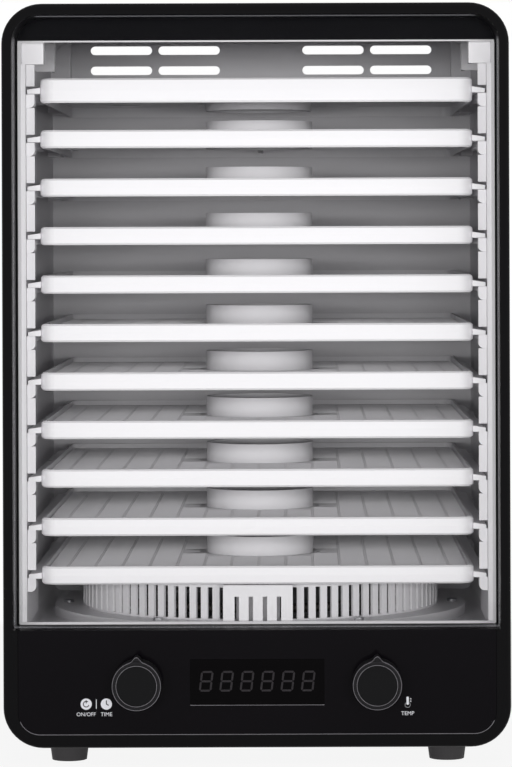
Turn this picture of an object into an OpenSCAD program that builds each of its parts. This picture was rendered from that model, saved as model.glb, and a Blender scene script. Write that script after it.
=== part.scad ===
// Eleven-tray cabinet food dehydrator with a drop-down clear door, a fan and
// heater under a slotted drum cover, and a glossy control panel with two knobs.
// Millimetres, +Z up, the front faces -Y and the feet stand on z = 0.
// Depths are measured backwards from the face of the front bezel.

/* [Cabinet] */
// Outside width of the cabinet
body_w = 340; // [320:1:380]
// Outside depth, bezel face to back face
body_d = 355; // [345:1:400]
// Radius of the cabinet's long edges
body_r = 27; // [24:0.5:30]
// Thickness of the wrapped outer case
case_wall = 2; // [1.2:0.1:2.6]
// Free height between the top tray and the chamber's ceiling
headroom = 49.2; // [40:0.2:80]
// Thickness of the cabinet's top over the chamber
roof_t = 7.5; // [6:0.1:12]

/* [Bezel] */
// Depth of the front bezel
bezel_d = 37; // [34:0.5:44]
// Width of the bezel's sides beside the door
bezel_side = 6.8; // [6:0.1:9]
// Height of the bezel's bottom rail under the control panel
bezel_bottom = 8.9; // [8:0.1:12]
// Rounding of the bezel's front edge
bezel_round = 3; // [1.5:0.1:4]
// Corner radius at the top of the door opening
opening_r = 19; // [16:0.5:21]
// Height of the dark header behind the top of the door
header_h = 15.5; // [12:0.5:24]
// Thickness of the header strip
header_t = 2.5; // [1.5:0.1:4]

/* [Chamber liner] */
// Width of liner edge that shows beside the door opening
liner_reveal = 3.2; // [2.6:0.1:4]
// Wall of the liner
liner_wall = 2; // [1.5:0.1:3]
// Space between the liner's back and the rear cover
rear_gap = 9; // [6:0.5:14]
// Drop from the sill to the chamber's floor
floor_drop = 7.8; // [6:0.1:12]
// Height of the threshold over the sill
threshold_h = 1.7; // [1:0.1:2.5]
// Number of vents in one row on each side of the middle
vents_per_side = 2; // [1:1:2]
// Length of one vent
vent_len = 47.1; // [30:0.1:48]
// Height of one vent
vent_h = 6.6; // [4:0.1:8]
// Gap between neighbouring vents
vent_gap = 4.9; // [4:0.1:8]
// Distance from the middle to the first vent
vent_start = 31.7; // [20:0.1:36]
// Distance between the two rows of vents
vent_row_pitch = 15.4; // [12:0.1:20]
// Drop from the ceiling to the middle of the upper row
vent_drop = 6; // [5:0.1:9]

/* [Rear cover] */
// Thickness of the rear cover
cover_t = 3; // [2:0.1:4]
// Height of the rim that locates the rear cover in the case
cover_rim = 5; // [3:0.1:8]
// Width of one air intake slot
intake_w = 4; // [3:0.1:6]
// Length of one air intake slot
intake_len = 34; // [20:0.5:40]
// Spacing of the air intake slots
intake_pitch = 9; // [8:0.1:14]
// Number of air intake slots
intake_count = 14; // [6:1:16]

/* [Door] */
// Thickness of the clear door
door_t = 4; // [3:0.1:5]
// How far the door sits behind the bezel's face
door_inset = 1; // [0.5:0.1:2]
// Clearance round the door
door_gap = 0.8; // [0.5:0.1:1.5]
// Clearance between the door's bottom edge and the sill
sill_gap = 1.8; // [1.2:0.1:3]
// Height of the hinge line over the sill
hinge_rise = 6.2; // [5.8:0.1:8]
// Diameter of the hinge pins
pin_dia = 4; // [3:0.1:5]
// Length of hinge pin that enters the bezel
pin_reach = 4.6; // [3:0.1:5]
// Radial running clearance of every turning pin and shaft
run_fit = 0.05; // [0.02:0.01:0.1]
// Width of the hinge block in the door's corner
hinge_block_w = 9; // [7:0.1:14]

/* [Trays] */
// Distance between neighbouring trays
tray_pitch = 33; // [31:0.5:40]
// Height of a drying tray's lip
lip_h = 12.2; // [10:0.1:14]
// Height of the top tray's lip
cover_lip_h = 16.6; // [14:0.1:20]
// Thickness of the lip
lip_t = 2.4; // [2:0.1:3.5]
// How far the lip's crease stands out
crease = 0.8; // [0.3:0.1:1.2]
// Corner radius of a tray in plan
tray_r = 10; // [9.5:0.5:16]
// Width of the runner along each side of a tray
runner_w = 8; // [6:0.1:10]
// Thickness of the runner at its root
runner_t = 4; // [3:0.1:5]
// Side clearance between a runner and its rack
runner_gap = 1.3; // [0.8:0.1:2]
// Clearance between the runners and the ledges that carry them
seat_gap = 0.2; // [0.1:0.05:0.4]
// Gap between the back of a tray and the chamber's back wall
tray_back_gap = 7; // [4:0.5:12]
// Clearance between the fan cover and the lowest tray
tray_floor_gap = 1.2; // [0.8:0.1:4]
// Outer radius of the air collar
collar_r = 38.4; // [30:0.2:44]
// Wall of the air collar
collar_wall = 2.4; // [1.6:0.1:3.5]
// Height of the air collar over the lip
collar_rise = 10; // [4:0.5:12]

/* [Tray grids] */
// Thickness of the drop-in grid
grid_t = 2; // [1.4:0.1:2.6]
// Depth of the grid's top below the lip's top
grid_drop = 3.5; // [2.5:0.1:5]
// Spacing of the grid's front-to-back bars
grid_bar_pitch = 18.8; // [16:0.2:26]
// Spacing of the grid's cross bars
grid_cross_pitch = 28.2; // [24:0.2:36]
// Width of the grid's bars
grid_bar_w = 2.6; // [1.8:0.1:4]
// Width of the grid's rim
grid_rim = 3; // [2:0.1:5]
// Clearance round the grid
grid_fit = 0.3; // [0.2:0.05:0.6]

/* [Racks] */
// Thickness of the rack panels
rack_t = 3; // [2:0.1:4]
// Depth of the rack panels, front to back
rack_d = 100; // [80:1:130]
// How far a ledge reaches under the tray's runner, from the rack panel
ledge_w = 5.8; // [4:0.1:7]
// Height of the ledge's front block
ledge_h = 9.2; // [7:0.1:11]
// Front-to-back length of the ledge's front block
ledge_d = 16; // [10:0.5:24]
// Height of the rail behind the block
rail_h = 4; // [3:0.1:6]
// Length of the rear ledges
rear_ledge_d = 40; // [25:1:60]
// Reach of the guides over the top tray, from the liner's wall
guide_w = 15; // [11:0.5:18]
// Height of the guides over the top tray
guide_h = 31; // [24:0.5:34]

/* [Fan cover] */
// Gap between the cover's flange and the chamber's front frame
flange_gap = 4; // [3:0.1:10]
// Width of the flange outside the drum
flange_rim = 20; // [16:0.5:26]
// Height of the flange
flange_h = 7; // [5:0.1:10]
// Height of the drum over the flange
drum_h = 26.5; // [22:0.5:34]
// Wall of the fan cover
drum_wall = 2.5; // [1.8:0.1:3.5]
// Rounding of the drum's top edge
drum_round = 3; // [2:0.1:4]
// Number of slots round the drum
slot_count = 96; // [60:6:96]
// Width of one slot
slot_w = 3.4; // [2.4:0.1:4]
// Distance of the slots from the top and the bottom of the drum
slot_margin = 3.6; // [3.2:0.1:6]
// Width of the sensor housing in front of the drum
sensor_w = 47.5; // [36:0.5:56]
// How far the sensor housing stands out from the drum
sensor_d = 16; // [12:0.5:18]
// Height of the sensor housing over the flange
sensor_h = 20.5; // [16:0.5:24]
// Spacing of the slots in the sensor housing
sensor_pitch = 9.6; // [8:0.1:11]
// Width of a slot in the sensor housing
sensor_slot = 3; // [2:0.1:4]

/* [Fan and heater] */
// Clearance between the blades and the air hole's edge
blade_gap = 7; // [4:0.5:20]
// Number of fan blades
blade_count = 7; // [5:1:9]
// Chord of a fan blade
blade_chord = 38; // [28:1:42]
// Pitch angle of a fan blade
blade_angle = 25; // [18:1:28]
// Diameter of the fan shaft
fan_shaft = 8; // [6:0.5:10]
// Radius of the fan hub
hub_r = 18; // [14:0.5:24]
// Diameter of the fan motor
motor_dia = 60; // [50:1:70]
// Height of the fan motor
motor_h = 42; // [32:1:46]
// Gap between the heater ring and the drum
heater_gap = 9.3; // [8:0.1:12]
// Gap between the heater ring and the air hole's edge
hole_gap = 7.8; // [6:0.1:12]
// Diameter of the heater's tube
heater_dia = 6.4; // [5:0.1:8]

/* [Control panel] */
// Height of the control panel
panel_h = 69.9; // [64:0.1:84]
// Thickness of the control panel
panel_t = 3; // [2:0.1:4]
// Corner radius at the bottom of the panel
panel_r = 14.7; // [12:0.1:18]
// How far the panel sits behind the bezel's face
panel_inset = 0.8; // [0.4:0.1:1.5]
// Assembly clearance round the panel, the window and other fixed inserts
fit = 0.15; // [0.1:0.05:0.3]
// Width of the display window
window_w = 89.6; // [80:0.2:100]
// Height of the display window
window_h = 30.7; // [26:0.1:36]

/* [Knobs] */
// Diameter of a knob
knob_dia = 33; // [28:0.5:36]
// How far the knobs stand out from the bezel
knob_out = 19; // [15:0.5:24]
// Distance of each knob from the middle
knob_x = 80; // [70:0.5:95]
// Height of the knobs over the bottom of the panel
knob_rise = 34.9; // [32:0.1:40]
// Travel of the time knob when it is pressed
press_travel = 1.2; // [0.8:0.1:1.6]
// Diameter of the knob shafts
shaft_dia = 6; // [5:0.1:7]
// Diameter of the knob's raised cap
cap_dia = 27; // [22:0.5:28]

/* [Feet] */
// Height of a foot
foot_h = 12; // [8:0.5:18]
// Diameter of a foot where it meets the cabinet
foot_top = 26.7; // [20:0.1:28]
// Diameter of a foot where it stands
foot_bottom = 23.5; // [18:0.1:26]
// Distance of the feet's middles from the cabinet's sides
foot_side = 42; // [41:0.5:60]
// Distance of the feet's middles from the cabinet's front and back
foot_inset = 35; // [22:0.5:35]
// Diameter of the foot screws
foot_screw = 4; // [3:0.1:5]

/* [Hidden] */
$fn = 64;
eps = 0.01;
tray_count = 11;

// heights
panel_z = foot_h + bezel_bottom;
sill_z = panel_z + panel_h;
floor_z = sill_z - floor_drop;
flange_z = floor_z + flange_h;
drum_z = flange_z + drum_h;
ceiling_z = tray_mid(1) + headroom;
body_top = ceiling_z + roof_t;
body_h = body_top - foot_h;
case_floor_z = foot_h + case_wall;

// widths, all measured from the middle
opening_x = body_w/2 - bezel_side;
liner_x = opening_x - liner_reveal;
rack_x = liner_x - rack_t;
runner_x = rack_x - runner_gap;
tray_x = runner_x - runner_w;
ledge_x = rack_x - ledge_w;

// depths behind the bezel's face
rear_head_h = 2;
front_y = knob_out - (body_d + knob_out + rear_head_h)/2;
cover_y = body_d - cover_t;
liner_back_y = cover_y - rear_gap;
chamber_back_y = liner_back_y - liner_wall;
chamber_mid_y = (bezel_d + chamber_back_y)/2;
flange_r = chamber_mid_y - bezel_d - flange_gap;
drum_r = flange_r - flange_rim;
heater_r = drum_r - drum_wall - heater_gap - heater_dia/2;
inlet_r = heater_r - heater_dia/2 - hole_gap;
rotor_r = inlet_r - blade_gap;
frame_t = liner_wall;
tray_front_y = bezel_d + 1;
tray_rear_y = chamber_back_y - tray_back_gap;
tray_d = tray_rear_y - tray_front_y;
rack_front_y = bezel_d + frame_t + 1;
rack_rear_y = rack_front_y + rack_d;
ledge_front_y = rack_front_y + 5;
runner_front_y = tray_front_y + 2;
runner_rear_y = tray_rear_y - 4;
rear_ledge_y = runner_rear_y - rear_ledge_d + 2;
door_front_y = door_inset;
door_back_y = door_inset + door_t;
panel_back_y = panel_inset + panel_t;
board_y = 20;
board_t = 1.6;

// door
door_x = opening_x - door_gap;
door_z = sill_z + sill_gap;
door_top = ceiling_z - door_gap;
pin_y = door_back_y - 0.5;
pin_z = sill_z + hinge_rise;
hinge_top = pin_z + 5.2;
hinge_inset = 0.4;
hinge_tongue = 12;
hinge_back_y = door_back_y + 3;
pin_fit = run_fit;

// knobs
knob_z = panel_z + knob_rise;
knob_gap = press_travel + 0.6;
knob_back_y = panel_inset - knob_gap;
knob_r = knob_dia/2;
shaft_end_y = 14;
plunger_t = 2.5;
encoder_y = 9;
encoder_w = 13;

// smaller sizes
stop_rib = 1.2;
header_z = ceiling_z - header_h;
bezel_screw_depth = 7;
frame_w = 6;
frame_r = 5;
floor_r = 6;
liner_edge_r = 0.5;
post_dia = 10;
intake_shift = -40;
intake_z = foot_h + 26;
gland_x = body_w/2 - 50;
gland_z = foot_h + 33;
gland_dia = 14;
gland_lip = rear_head_h;
cord_bore = 8;
rear_screw = 3;
rear_screw_places = [for (s = [-1, 1], z = [floor_z + 30, (floor_z + ceiling_z)/2, ceiling_z - 45])
  [s*(liner_x - 20), z]];
pan_x = body_w/2 - 30;
pan_t = 1.5;
pan_gap = 4;
pan_boss = 11;
pan_boss_h = 8.5;
post_w = 8;
post_edge = 6;
board_z = foot_h + 14;
board_x = -pan_x + 10;
power_w = 92;
power_d = 90;
power_y = cover_y - cover_rim - power_d - 27;
power_blocks = [[10, 12, 30, 26, 24], [50, 12, 16, 20, 16], [74, 14, 12, 30, 14]];
capacitor_places = [[56, 62], [76, 62]];
capacitor_dia = 13;
capacitor_h = 20;
post_places = [for (x = [post_edge, power_w - post_edge], y = [post_edge, power_d - post_edge])
  [board_x + x, power_y + y]];
rack_foot_z = floor_z + floor_r + fit;
rack_top_z = ceiling_z - guide_h - fit;
guide_t = 2.5;
guide_d = 12;
guide_places = [ledge_front_y, rack_rear_y + 10, chamber_back_y - 21];
ledge_r = 3.5;
rail_r = 1;
slot_low = 1.2;
top_slots = 16;
top_slot_len = 19;
small_screw = 3.6;
flange_screw_r = (flange_r + drum_r)/2 + 0.5;
flange_screw_angles = [0, 60, 120, 180, 240, 300];
sensor_y = chamber_mid_y - drum_r - sensor_d;
sensor_wall = 2;
rotor_z = floor_z + 2;
rotor_h = 18;
bracket_t = 3;
motor_top_z = floor_z - liner_wall - bracket_t;
bracket_w = 44;
bracket_half = inlet_r + 18;
shaft_in_motor = 26;
heater_z = floor_z + 14;
heater_plate = 1.2;
heater_open = 24;
heater_tab = 3;
sill_t = 2.5;
sill_edge = 0.5;
board_w = 232;
board_h = 54;
board_posts = [for (x = [-1, 1], z = [-1, 1]) [x*(board_w/2 - post_w), z*(board_h/2 - post_w/2 - 1)]];
module_w = 84;
module_h = 22;
digit_pitch = 13.65;
digit_w = 10;
digit_h = 16;
digit_drop = 0.7;
window_lip = 3;
window_lip_t = 1.5;
knob_h = knob_back_y + knob_out;
knob_face_y = -knob_out;
knob_round = 1.6;
cap_ring = 1;
cap_depth = 0.7;
hub_wall_r = 6;
knob_wall = 2.5;
knob_bore = 11;
shaft_fit = 0.02;
pointer_half = 24;
pointer_flare = 8.5;
pointer_h = 3;
pointer_rear = 4;
foot_screw_head = 8;
foot_recess = 6;
grid_seat = lip_h/2 - grid_drop - grid_t;
grid_ledge = crease + lip_t + 3.4;
spoke_h = 4;
spoke_w = 3;
grid_x = tray_x - crease - lip_t - grid_fit;
grid_y = tray_d/2 - crease - lip_t - grid_fit;
grid_corner_r = tray_r - crease - lip_t - grid_fit;
grid_inner_r = max(grid_corner_r - grid_rim, 0.5);
grid_cols = floor((grid_x - grid_rim - grid_bar_w)/grid_bar_pitch);
plate_t = 1.5;
plate_x = tray_x - crease - lip_t/2;
plate_y = tray_d/2 - crease - lip_t/2;
plate_r = tray_r - crease - lip_t/2;
grid_rows = floor((grid_y - grid_rim - grid_bar_w)/grid_cross_pitch);
collar_dy = chamber_mid_y - tray_front_y - tray_d/2;
foot_x = body_w/2 - foot_side;

// Height of the middle of a tray's lip, tray 1 being the top one.
function tray_mid(n) = drum_z + tray_floor_gap + lip_h/2 + (tray_count - n)*tray_pitch;

// --- helpers -------------------------------------------------------------

// Children drawn in the cabinet's own depth, 0 at the bezel's face.
module from_face() translate([0, front_y, 0]) children();

// A front-view outline, x across and y up, given depth from y0 to y1.
module slab(y0, y1) translate([0, y1, 0]) rotate([90, 0, 0]) linear_extrude(y1 - y0) children();

// Round bar along Y.
module bar_y(r, y0, y1) translate([0, y1, 0]) rotate([90, 0, 0]) cylinder(r = r, h = y1 - y0);

// Rounded outline from x = -half to half and z0 to z1, with its own bottom and top corner radii.
module outline(half, z0, z1, r_bottom, r_top) {
  translate([-half, z0 + r_bottom]) square([2*half, z1 - z0 - r_bottom - r_top]);
  translate([-half + r_bottom, z0]) square([2*(half - r_bottom), r_bottom + eps]);
  translate([-half + r_top, z1 - r_top - eps]) square([2*(half - r_top), r_top + eps]);
  for (s = [-1, 1]) {
    translate([s*(half - r_bottom), z0 + r_bottom]) circle(r_bottom);
    translate([s*(half - r_top), z1 - r_top]) circle(r_top);
  }
}

// Slot with round ends, centred on its middle.
module stadium(len, wide) {
  square([len - wide, wide], center = true);
  for (s = [-1, 1]) translate([s*(len - wide)/2, 0]) circle(d = wide);
}

// A profile, x outwards from the edge and y up, swept round a rounded rectangle in plan.
module swept(w, l, r) for (s = [0, 1]) rotate(s*180) {
  translate([w/2 - r, l/2 - r, 0]) rotate_extrude(angle = 90) translate([r, 0]) children();
  translate([r - w/2, l/2 - r, 0]) rotate(90) rotate_extrude(angle = 90) translate([r, 0]) children();
  translate([w/2, l/2 - r, 0]) rotate([90, 0, 0]) linear_extrude(l - 2*r) children();
  translate([r - w/2, l/2, 0]) rotate([90, 0, 90]) linear_extrude(w - 2*r) children();
}

// Outline of the whole cabinet, drawn in by a margin.
module body_outline(inset) {
  outline(body_w/2 - inset, foot_h + inset, body_top - inset, body_r - inset, body_r - inset);
}

// Outline of the chamber in front view, grown by a wall.
module chamber_outline(grow) {
  outline(liner_x + grow, floor_z - grow, ceiling_z + grow, floor_r + grow, opening_r + grow);
}

// Vents of the chamber's back wall, each larger by a margin all round.
module vents(margin) {
  for (row = [0, 1], side = [-1, 1], i = [0:vents_per_side - 1])
    translate([side*(vent_start + vent_len/2 + i*(vent_len + vent_gap)),
               ceiling_z - vent_drop - row*vent_row_pitch])
      stadium(vent_len + 2*margin, vent_h + 2*margin);
}

// --- cabinet -------------------------------------------------------------

module outer_case() color([0.1, 0.1, 0.11]) from_face() difference() {
  slab(bezel_d, cover_y) difference() {
    body_outline(0);
    body_outline(case_wall);
  }
  for (s = [-1, 1]) translate([s*foot_x, body_d - foot_inset, foot_h - 1])
    cylinder(d = foot_screw + 2*fit, h = case_wall + 2);
}

// Opening of the bezel, drawn in by a rib: the door above the sill, the panel below it.
module bezel_opening(rib) {
  outline(opening_x - rib, sill_z, ceiling_z, 1, opening_r - rib);
  outline(liner_x + fit, panel_z - fit, sill_z + 2, panel_r + fit, 1);
}

module front_bezel() color([0.16, 0.16, 0.17]) from_face() difference() {
  union() {
    slab(bezel_round, bezel_d) body_outline(0);
    slab(0, bezel_round + eps) body_outline(bezel_round);
    translate([0, 0, foot_h + body_h/2]) rotate([90, 0, 0]) mirror([0, 0, 1])
      swept(body_w, body_h, body_r) intersection() {
        translate([-bezel_round, bezel_round]) circle(bezel_round);
        translate([-bezel_round - eps, 0]) square(bezel_round + eps);
      }
  }
  slab(-1, bezel_d - header_t) bezel_opening(0);
  slab(bezel_d - header_t - 1, bezel_d + 1) bezel_opening(stop_rib);
  for (s = [-1, 1]) {
    translate([s*(opening_x + pin_reach/2), pin_y, pin_z]) rotate([0, 90, 0])
      cylinder(d = pin_dia + 2*pin_fit, h = pin_reach + 1, center = true);
    translate([s*foot_x, foot_inset, foot_h - 1])
      cylinder(d = foot_screw + 2*pin_fit, h = bezel_screw_depth + 1);
  }
}

// Dark strip between the bezel's stop ribs, in front of the liner's edge.
module door_header() color([0.07, 0.07, 0.09]) from_face()
  slab(bezel_d - header_t, bezel_d) intersection() {
    outline(opening_x - stop_rib - fit, sill_z, ceiling_z - fit, 1, opening_r - stop_rib - fit);
    translate([-opening_x, header_z]) square([2*opening_x, header_h]);
  }

module rear_cover() color([0.1, 0.1, 0.11]) from_face() difference() {
  union() {
    slab(cover_y, body_d) body_outline(0);
    slab(cover_y - cover_rim, cover_y + eps) difference() {
      body_outline(case_wall + fit);
      body_outline(case_wall + fit + 2);
    }
  }
  slab(cover_y - 1, body_d + 1) {
    vents(1.5);
    for (i = [0:intake_count - 1], row = [0, 1])
      translate([(i - (intake_count - 1)/2)*intake_pitch + intake_shift, intake_z + row*(intake_len + 6)])
        rotate(90) stadium(intake_len, intake_w);
    translate([gland_x, gland_z]) circle(d = gland_dia);
    for (p = rear_screw_places) translate(p) circle(d = rear_screw + 2*fit);
  }
}

// Metal pan on the case's floor, with a boss over each rear foot screw.
module base_pan() color([0.6, 0.6, 0.6]) from_face() difference() {
  union() {
    translate([-pan_x, bezel_d + pan_gap, case_floor_z])
      cube([2*pan_x, cover_y - cover_rim - bezel_d - 2*pan_gap, pan_t]);
    for (s = [-1, 1]) translate([s*foot_x, body_d - foot_inset, case_floor_z])
      cylinder(d = pan_boss, h = pan_boss_h);
    for (p = post_places) translate([p[0], p[1], case_floor_z])
      cylinder(d = post_w, h = board_z - case_floor_z);
  }
  for (s = [-1, 1]) translate([s*foot_x, body_d - foot_inset, case_floor_z - 1])
    cylinder(d = foot_screw + 2*pin_fit, h = pan_boss_h + 2);
}

// One-piece chamber: five walls, a front frame with a threshold, and posts for the rear cover.
// Walls of the chamber with the frame round its mouth.
module liner_walls() difference() {
  union() {
    slab(bezel_d, chamber_back_y) chamber_outline(liner_wall);
    slab(bezel_d, bezel_d + frame_t)
      outline(liner_x + frame_w, floor_z - liner_wall, ceiling_z + frame_t + 1, floor_r, opening_r + frame_r);
  }
  slab(bezel_d + frame_t, chamber_back_y + 1) chamber_outline(0);
  slab(bezel_d - 1, bezel_d + frame_t + 1)
    outline(liner_x, sill_z + threshold_h, header_z - 1, liner_edge_r, liner_edge_r);
  translate([0, chamber_mid_y, floor_z - liner_wall - 1]) {
    cylinder(r = inlet_r, h = liner_wall + 2);
    for (a = flange_screw_angles) rotate(a) translate([flange_screw_r, 0])
      cylinder(d = small_screw + 2*pin_fit, h = liner_wall + 2);
  }
}

// Back plate of the chamber, a sheet behind the walls with the vents and the screw posts.
module liner_back() {
  slab(chamber_back_y + fit, liner_back_y) difference() {
    chamber_outline(liner_wall);
    vents(0);
  }
  for (p = rear_screw_places) slab(liner_back_y - eps, cover_y) translate(p) difference() {
    circle(d = post_dia);
    circle(d = rear_screw + 2*pin_fit);
  }
}

module inner_liner() color([0.72, 0.72, 0.73]) from_face() {
  liner_walls();
  liner_back();
}

// --- racks ---------------------------------------------------------------

// Ledge in front view, its top at y = 0 and its plate at x = 0, with a rounded lower corner.
module ledge_section(h, r) intersection() {
  translate([-ledge_w, -h]) square([ledge_w - fit, h]);
  union() {
    translate([-ledge_w, -h + r]) square([ledge_w, h - r]);
    translate([-ledge_w + r, -h]) square([ledge_w, h]);
    translate([-ledge_w + r, -h + r]) circle(r);
  }
}

// Side plate of the chamber and the ledges bonded to it, a deep block and a rail each.
module rack() from_face() {
  translate([rack_x, rack_front_y, rack_foot_z]) cube([rack_t, rack_d, rack_top_z - rack_foot_z]);
  for (n = [1:tray_count]) translate([rack_x, 0, tray_mid(n) - runner_t/2 - seat_gap]) {
    slab(ledge_front_y, ledge_front_y + ledge_d) ledge_section(ledge_h, ledge_r);
    slab(ledge_front_y + ledge_d + fit, rack_rear_y - 2) ledge_section(rail_h, rail_r);
  }
}

module rack_right() color([0.85, 0.85, 0.86]) rack();

module rack_left() color([0.85, 0.85, 0.86]) mirror([1, 0, 0]) rack();

module rear_ledges() color([0.8, 0.8, 0.81]) from_face() for (n = [1:tray_count], s = [-1, 1])
  translate([s > 0 ? ledge_x : -liner_x, rear_ledge_y, tray_mid(n) - runner_t/2 - seat_gap - rail_h])
    cube([liner_x - ledge_x, rear_ledge_d, rail_h]);

// Angle guides that hang beside the top tray, a plate across and a plate along the wall.
module top_guides() color([0.8, 0.8, 0.81]) from_face() for (y = guide_places, s = [0, 1])
  mirror([s, 0, 0]) {
    slab(y, y + guide_t) guide_section(guide_w);
    slab(y + eps, y + guide_d) difference() {
      guide_section(guide_w);
      translate([liner_x - guide_w + guide_t, 0]) square([guide_w, body_top]);
    }
  }

module guide_section(w) intersection() {
  chamber_outline(-fit/2);
  translate([liner_x - w, ceiling_z - guide_h]) square([w, guide_h]);
}

// --- fan cover and air path ----------------------------------------------

// Half section of the drum cover's skin, drawn in by a margin, with a rounded top edge.
module cover_section(inset) {
  r = drum_round - min(inset, drum_round - 0.5);
  translate([0, floor_z - 2*inset]) square([flange_r - inset, flange_h + inset]);
  translate([0, floor_z]) square([drum_r - inset, flange_h + drum_h - r - inset]);
  translate([0, drum_z - inset - r - eps]) square([drum_r - inset - r, r + eps]);
  translate([drum_r - inset - r, drum_z - inset - r]) circle(r);
}

module fan_cover() color([0.8, 0.8, 0.81]) from_face() translate([0, chamber_mid_y, 0]) difference() {
  rotate_extrude($fn = 96) difference() {
    cover_section(0);
    cover_section(drum_wall);
  }
  for (i = [0:slot_count - 1]) rotate(i*360/slot_count)
    translate([drum_r - drum_wall - 3, -slot_w/2, flange_z + slot_low])
      cube([drum_wall + 5, slot_w, drum_h - slot_low - slot_margin]);
  for (i = [0:top_slots - 1]) rotate((i + 0.5)*360/top_slots)
    translate([collar_r - top_slot_len - 6, -slot_w/2, drum_z - drum_wall - 1])
      cube([top_slot_len, slot_w, drum_wall + 2]);
  for (a = flange_screw_angles) rotate(a) translate([flange_screw_r, 0, floor_z])
    cylinder(d = small_screw + 2*fit, h = flange_h + 1);
}

// Slotted box in front of the drum, over the air temperature sensor.
module sensor_housing() color([0.88, 0.88, 0.89]) from_face() difference() {
  translate([0, sensor_y, flange_z]) {
    translate([-sensor_w/2, 0, 0]) cube([sensor_w, sensor_d + 6, sensor_h]);
  }
  translate([-sensor_w/2 + sensor_wall, sensor_y + sensor_wall, flange_z - 1])
    cube([sensor_w - 2*sensor_wall, sensor_d + 6, sensor_h - sensor_wall + 1]);
  for (i = [0:3]) translate([(i - 1.5)*sensor_pitch - sensor_slot/2, sensor_y - 1, flange_z + 1.6])
    cube([sensor_slot, sensor_wall + 2, sensor_h - 3.6]);
  translate([0, chamber_mid_y, flange_z - 1]) cylinder(r = drum_r + fit, h = sensor_h + 2, $fn = 96);
}

module fan_rotor() color([0.75, 0.75, 0.76]) from_face() translate([0, chamber_mid_y, 0]) {
  difference() {
    union() {
      translate([0, 0, rotor_z]) cylinder(r = hub_r, h = rotor_h);
      intersection() {
        for (i = [0:blade_count - 1]) rotate(i*360/blade_count)
          translate([hub_r - 2, 0, rotor_z + rotor_h/2]) rotate([blade_angle, 0, 0])
            translate([0, -blade_chord/2, -1]) cube([rotor_r, blade_chord, 2]);
        translate([0, 0, rotor_z - 5]) cylinder(r = rotor_r, h = rotor_h + 10);
      }
    }
    translate([0, 0, rotor_z + rotor_h - 3]) cylinder(r = hub_r - 3, h = 4);
  }
  translate([0, 0, motor_top_z - shaft_in_motor])
    cylinder(d = fan_shaft, h = rotor_z - motor_top_z + shaft_in_motor + 1);
}

module fan_motor() color([0.55, 0.55, 0.57]) from_face() translate([0, chamber_mid_y, 0]) difference() {
  union() {
    translate([0, 0, motor_top_z - motor_h]) cylinder(d = motor_dia, h = motor_h - 6);
    translate([0, 0, motor_top_z - 6 - eps]) cylinder(d = motor_dia - 12, h = 6 + eps);
    for (s = [-1, 1]) translate([s*(motor_dia/2 + 2), 0, motor_top_z - 4]) cylinder(d = 12, h = 4);
    translate([-motor_dia/2 - 2, -4, motor_top_z - 8]) cube([motor_dia + 4, 8, 8]);
  }
  translate([0, 0, motor_top_z - shaft_in_motor - 2])
    cylinder(d = fan_shaft + 2*run_fit, h = shaft_in_motor + 3);
}

// Cross bar under the chamber's floor that carries the motor.
module motor_bracket() color([0.65, 0.65, 0.66]) from_face() translate([0, chamber_mid_y, 0]) difference() {
  translate([-bracket_half, -bracket_w/2, motor_top_z]) cube([2*bracket_half, bracket_w, bracket_t]);
  translate([0, 0, motor_top_z - 1]) cylinder(d = fan_shaft + 10, h = bracket_t + 2);
}

// Tubular heater, an open ring round the air hole.
module heater_ring() color([0.35, 0.34, 0.34]) from_face() translate([0, chamber_mid_y, 0])
  rotate(90 + heater_open/2) rotate_extrude(angle = 360 - heater_open)
    translate([heater_r, heater_z]) circle(d = heater_dia);

module heater_frame() color([0.7, 0.7, 0.72]) from_face() translate([0, chamber_mid_y, 0]) {
  difference() {
    translate([0, 0, floor_z]) cylinder(r = heater_r + heater_dia, h = heater_plate);
    translate([0, 0, floor_z - 1]) cylinder(r = inlet_r + 2, h = heater_plate + 2);
  }
  for (i = [0:3]) rotate(i*90 + 45)
    translate([heater_r - heater_dia/2, -heater_tab/2, floor_z + heater_plate - eps])
      cube([heater_dia, heater_tab, heater_z - heater_dia/2 - floor_z - heater_plate - fit + eps]);
}

// --- control panel and electronics ---------------------------------------

// Glossy front plate with the sill over it, in one L-shaped moulding.
module control_panel() color([0.08, 0.07, 0.08]) from_face() difference() {
  union() {
    slab(panel_inset, panel_back_y) outline(liner_x, panel_z, sill_z, panel_r, sill_edge);
    translate([-liner_x, panel_inset + sill_edge, sill_z - sill_t])
      cube([2*liner_x, bezel_d - panel_inset - sill_edge - fit, sill_t]);
    for (p = board_posts) slab(panel_back_y - eps, board_y) translate([p[0], knob_z + p[1]])
      circle(d = post_w);
  }
  slab(panel_inset - 1, panel_back_y + 1) {
    translate([-window_w/2 - fit, knob_z - window_h/2 - fit]) square([window_w + 2*fit, window_h + 2*fit]);
    for (s = [-1, 1]) translate([s*knob_x, knob_z]) circle(d = shaft_dia + 2);
  }
}

// Rectangle in front view, centred on the line through the knobs.
module centred(w, h) translate([0, knob_z]) square([w, h], center = true);

module display_window() color([0.05, 0.04, 0.05]) from_face() {
  slab(panel_inset, panel_back_y + eps) centred(window_w, window_h);
  slab(panel_back_y, panel_back_y + window_lip_t) centred(window_w + 2*window_lip, window_h + 2*window_lip);
}

// Six-digit display block behind the window.
module display_module() color([0.2, 0.2, 0.2]) from_face() difference() {
  slab(panel_back_y + window_lip_t + fit, board_y) centred(module_w, module_h);
  for (i = [0:5]) slab(panel_back_y, panel_back_y + window_lip_t + fit + digit_drop)
    translate([(i - 2.5)*digit_pitch, 0]) centred(digit_w, digit_h);
}

module control_board() color([0.1, 0.35, 0.2]) from_face()
  slab(board_y, board_y + board_t) centred(board_w, board_h);

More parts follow.
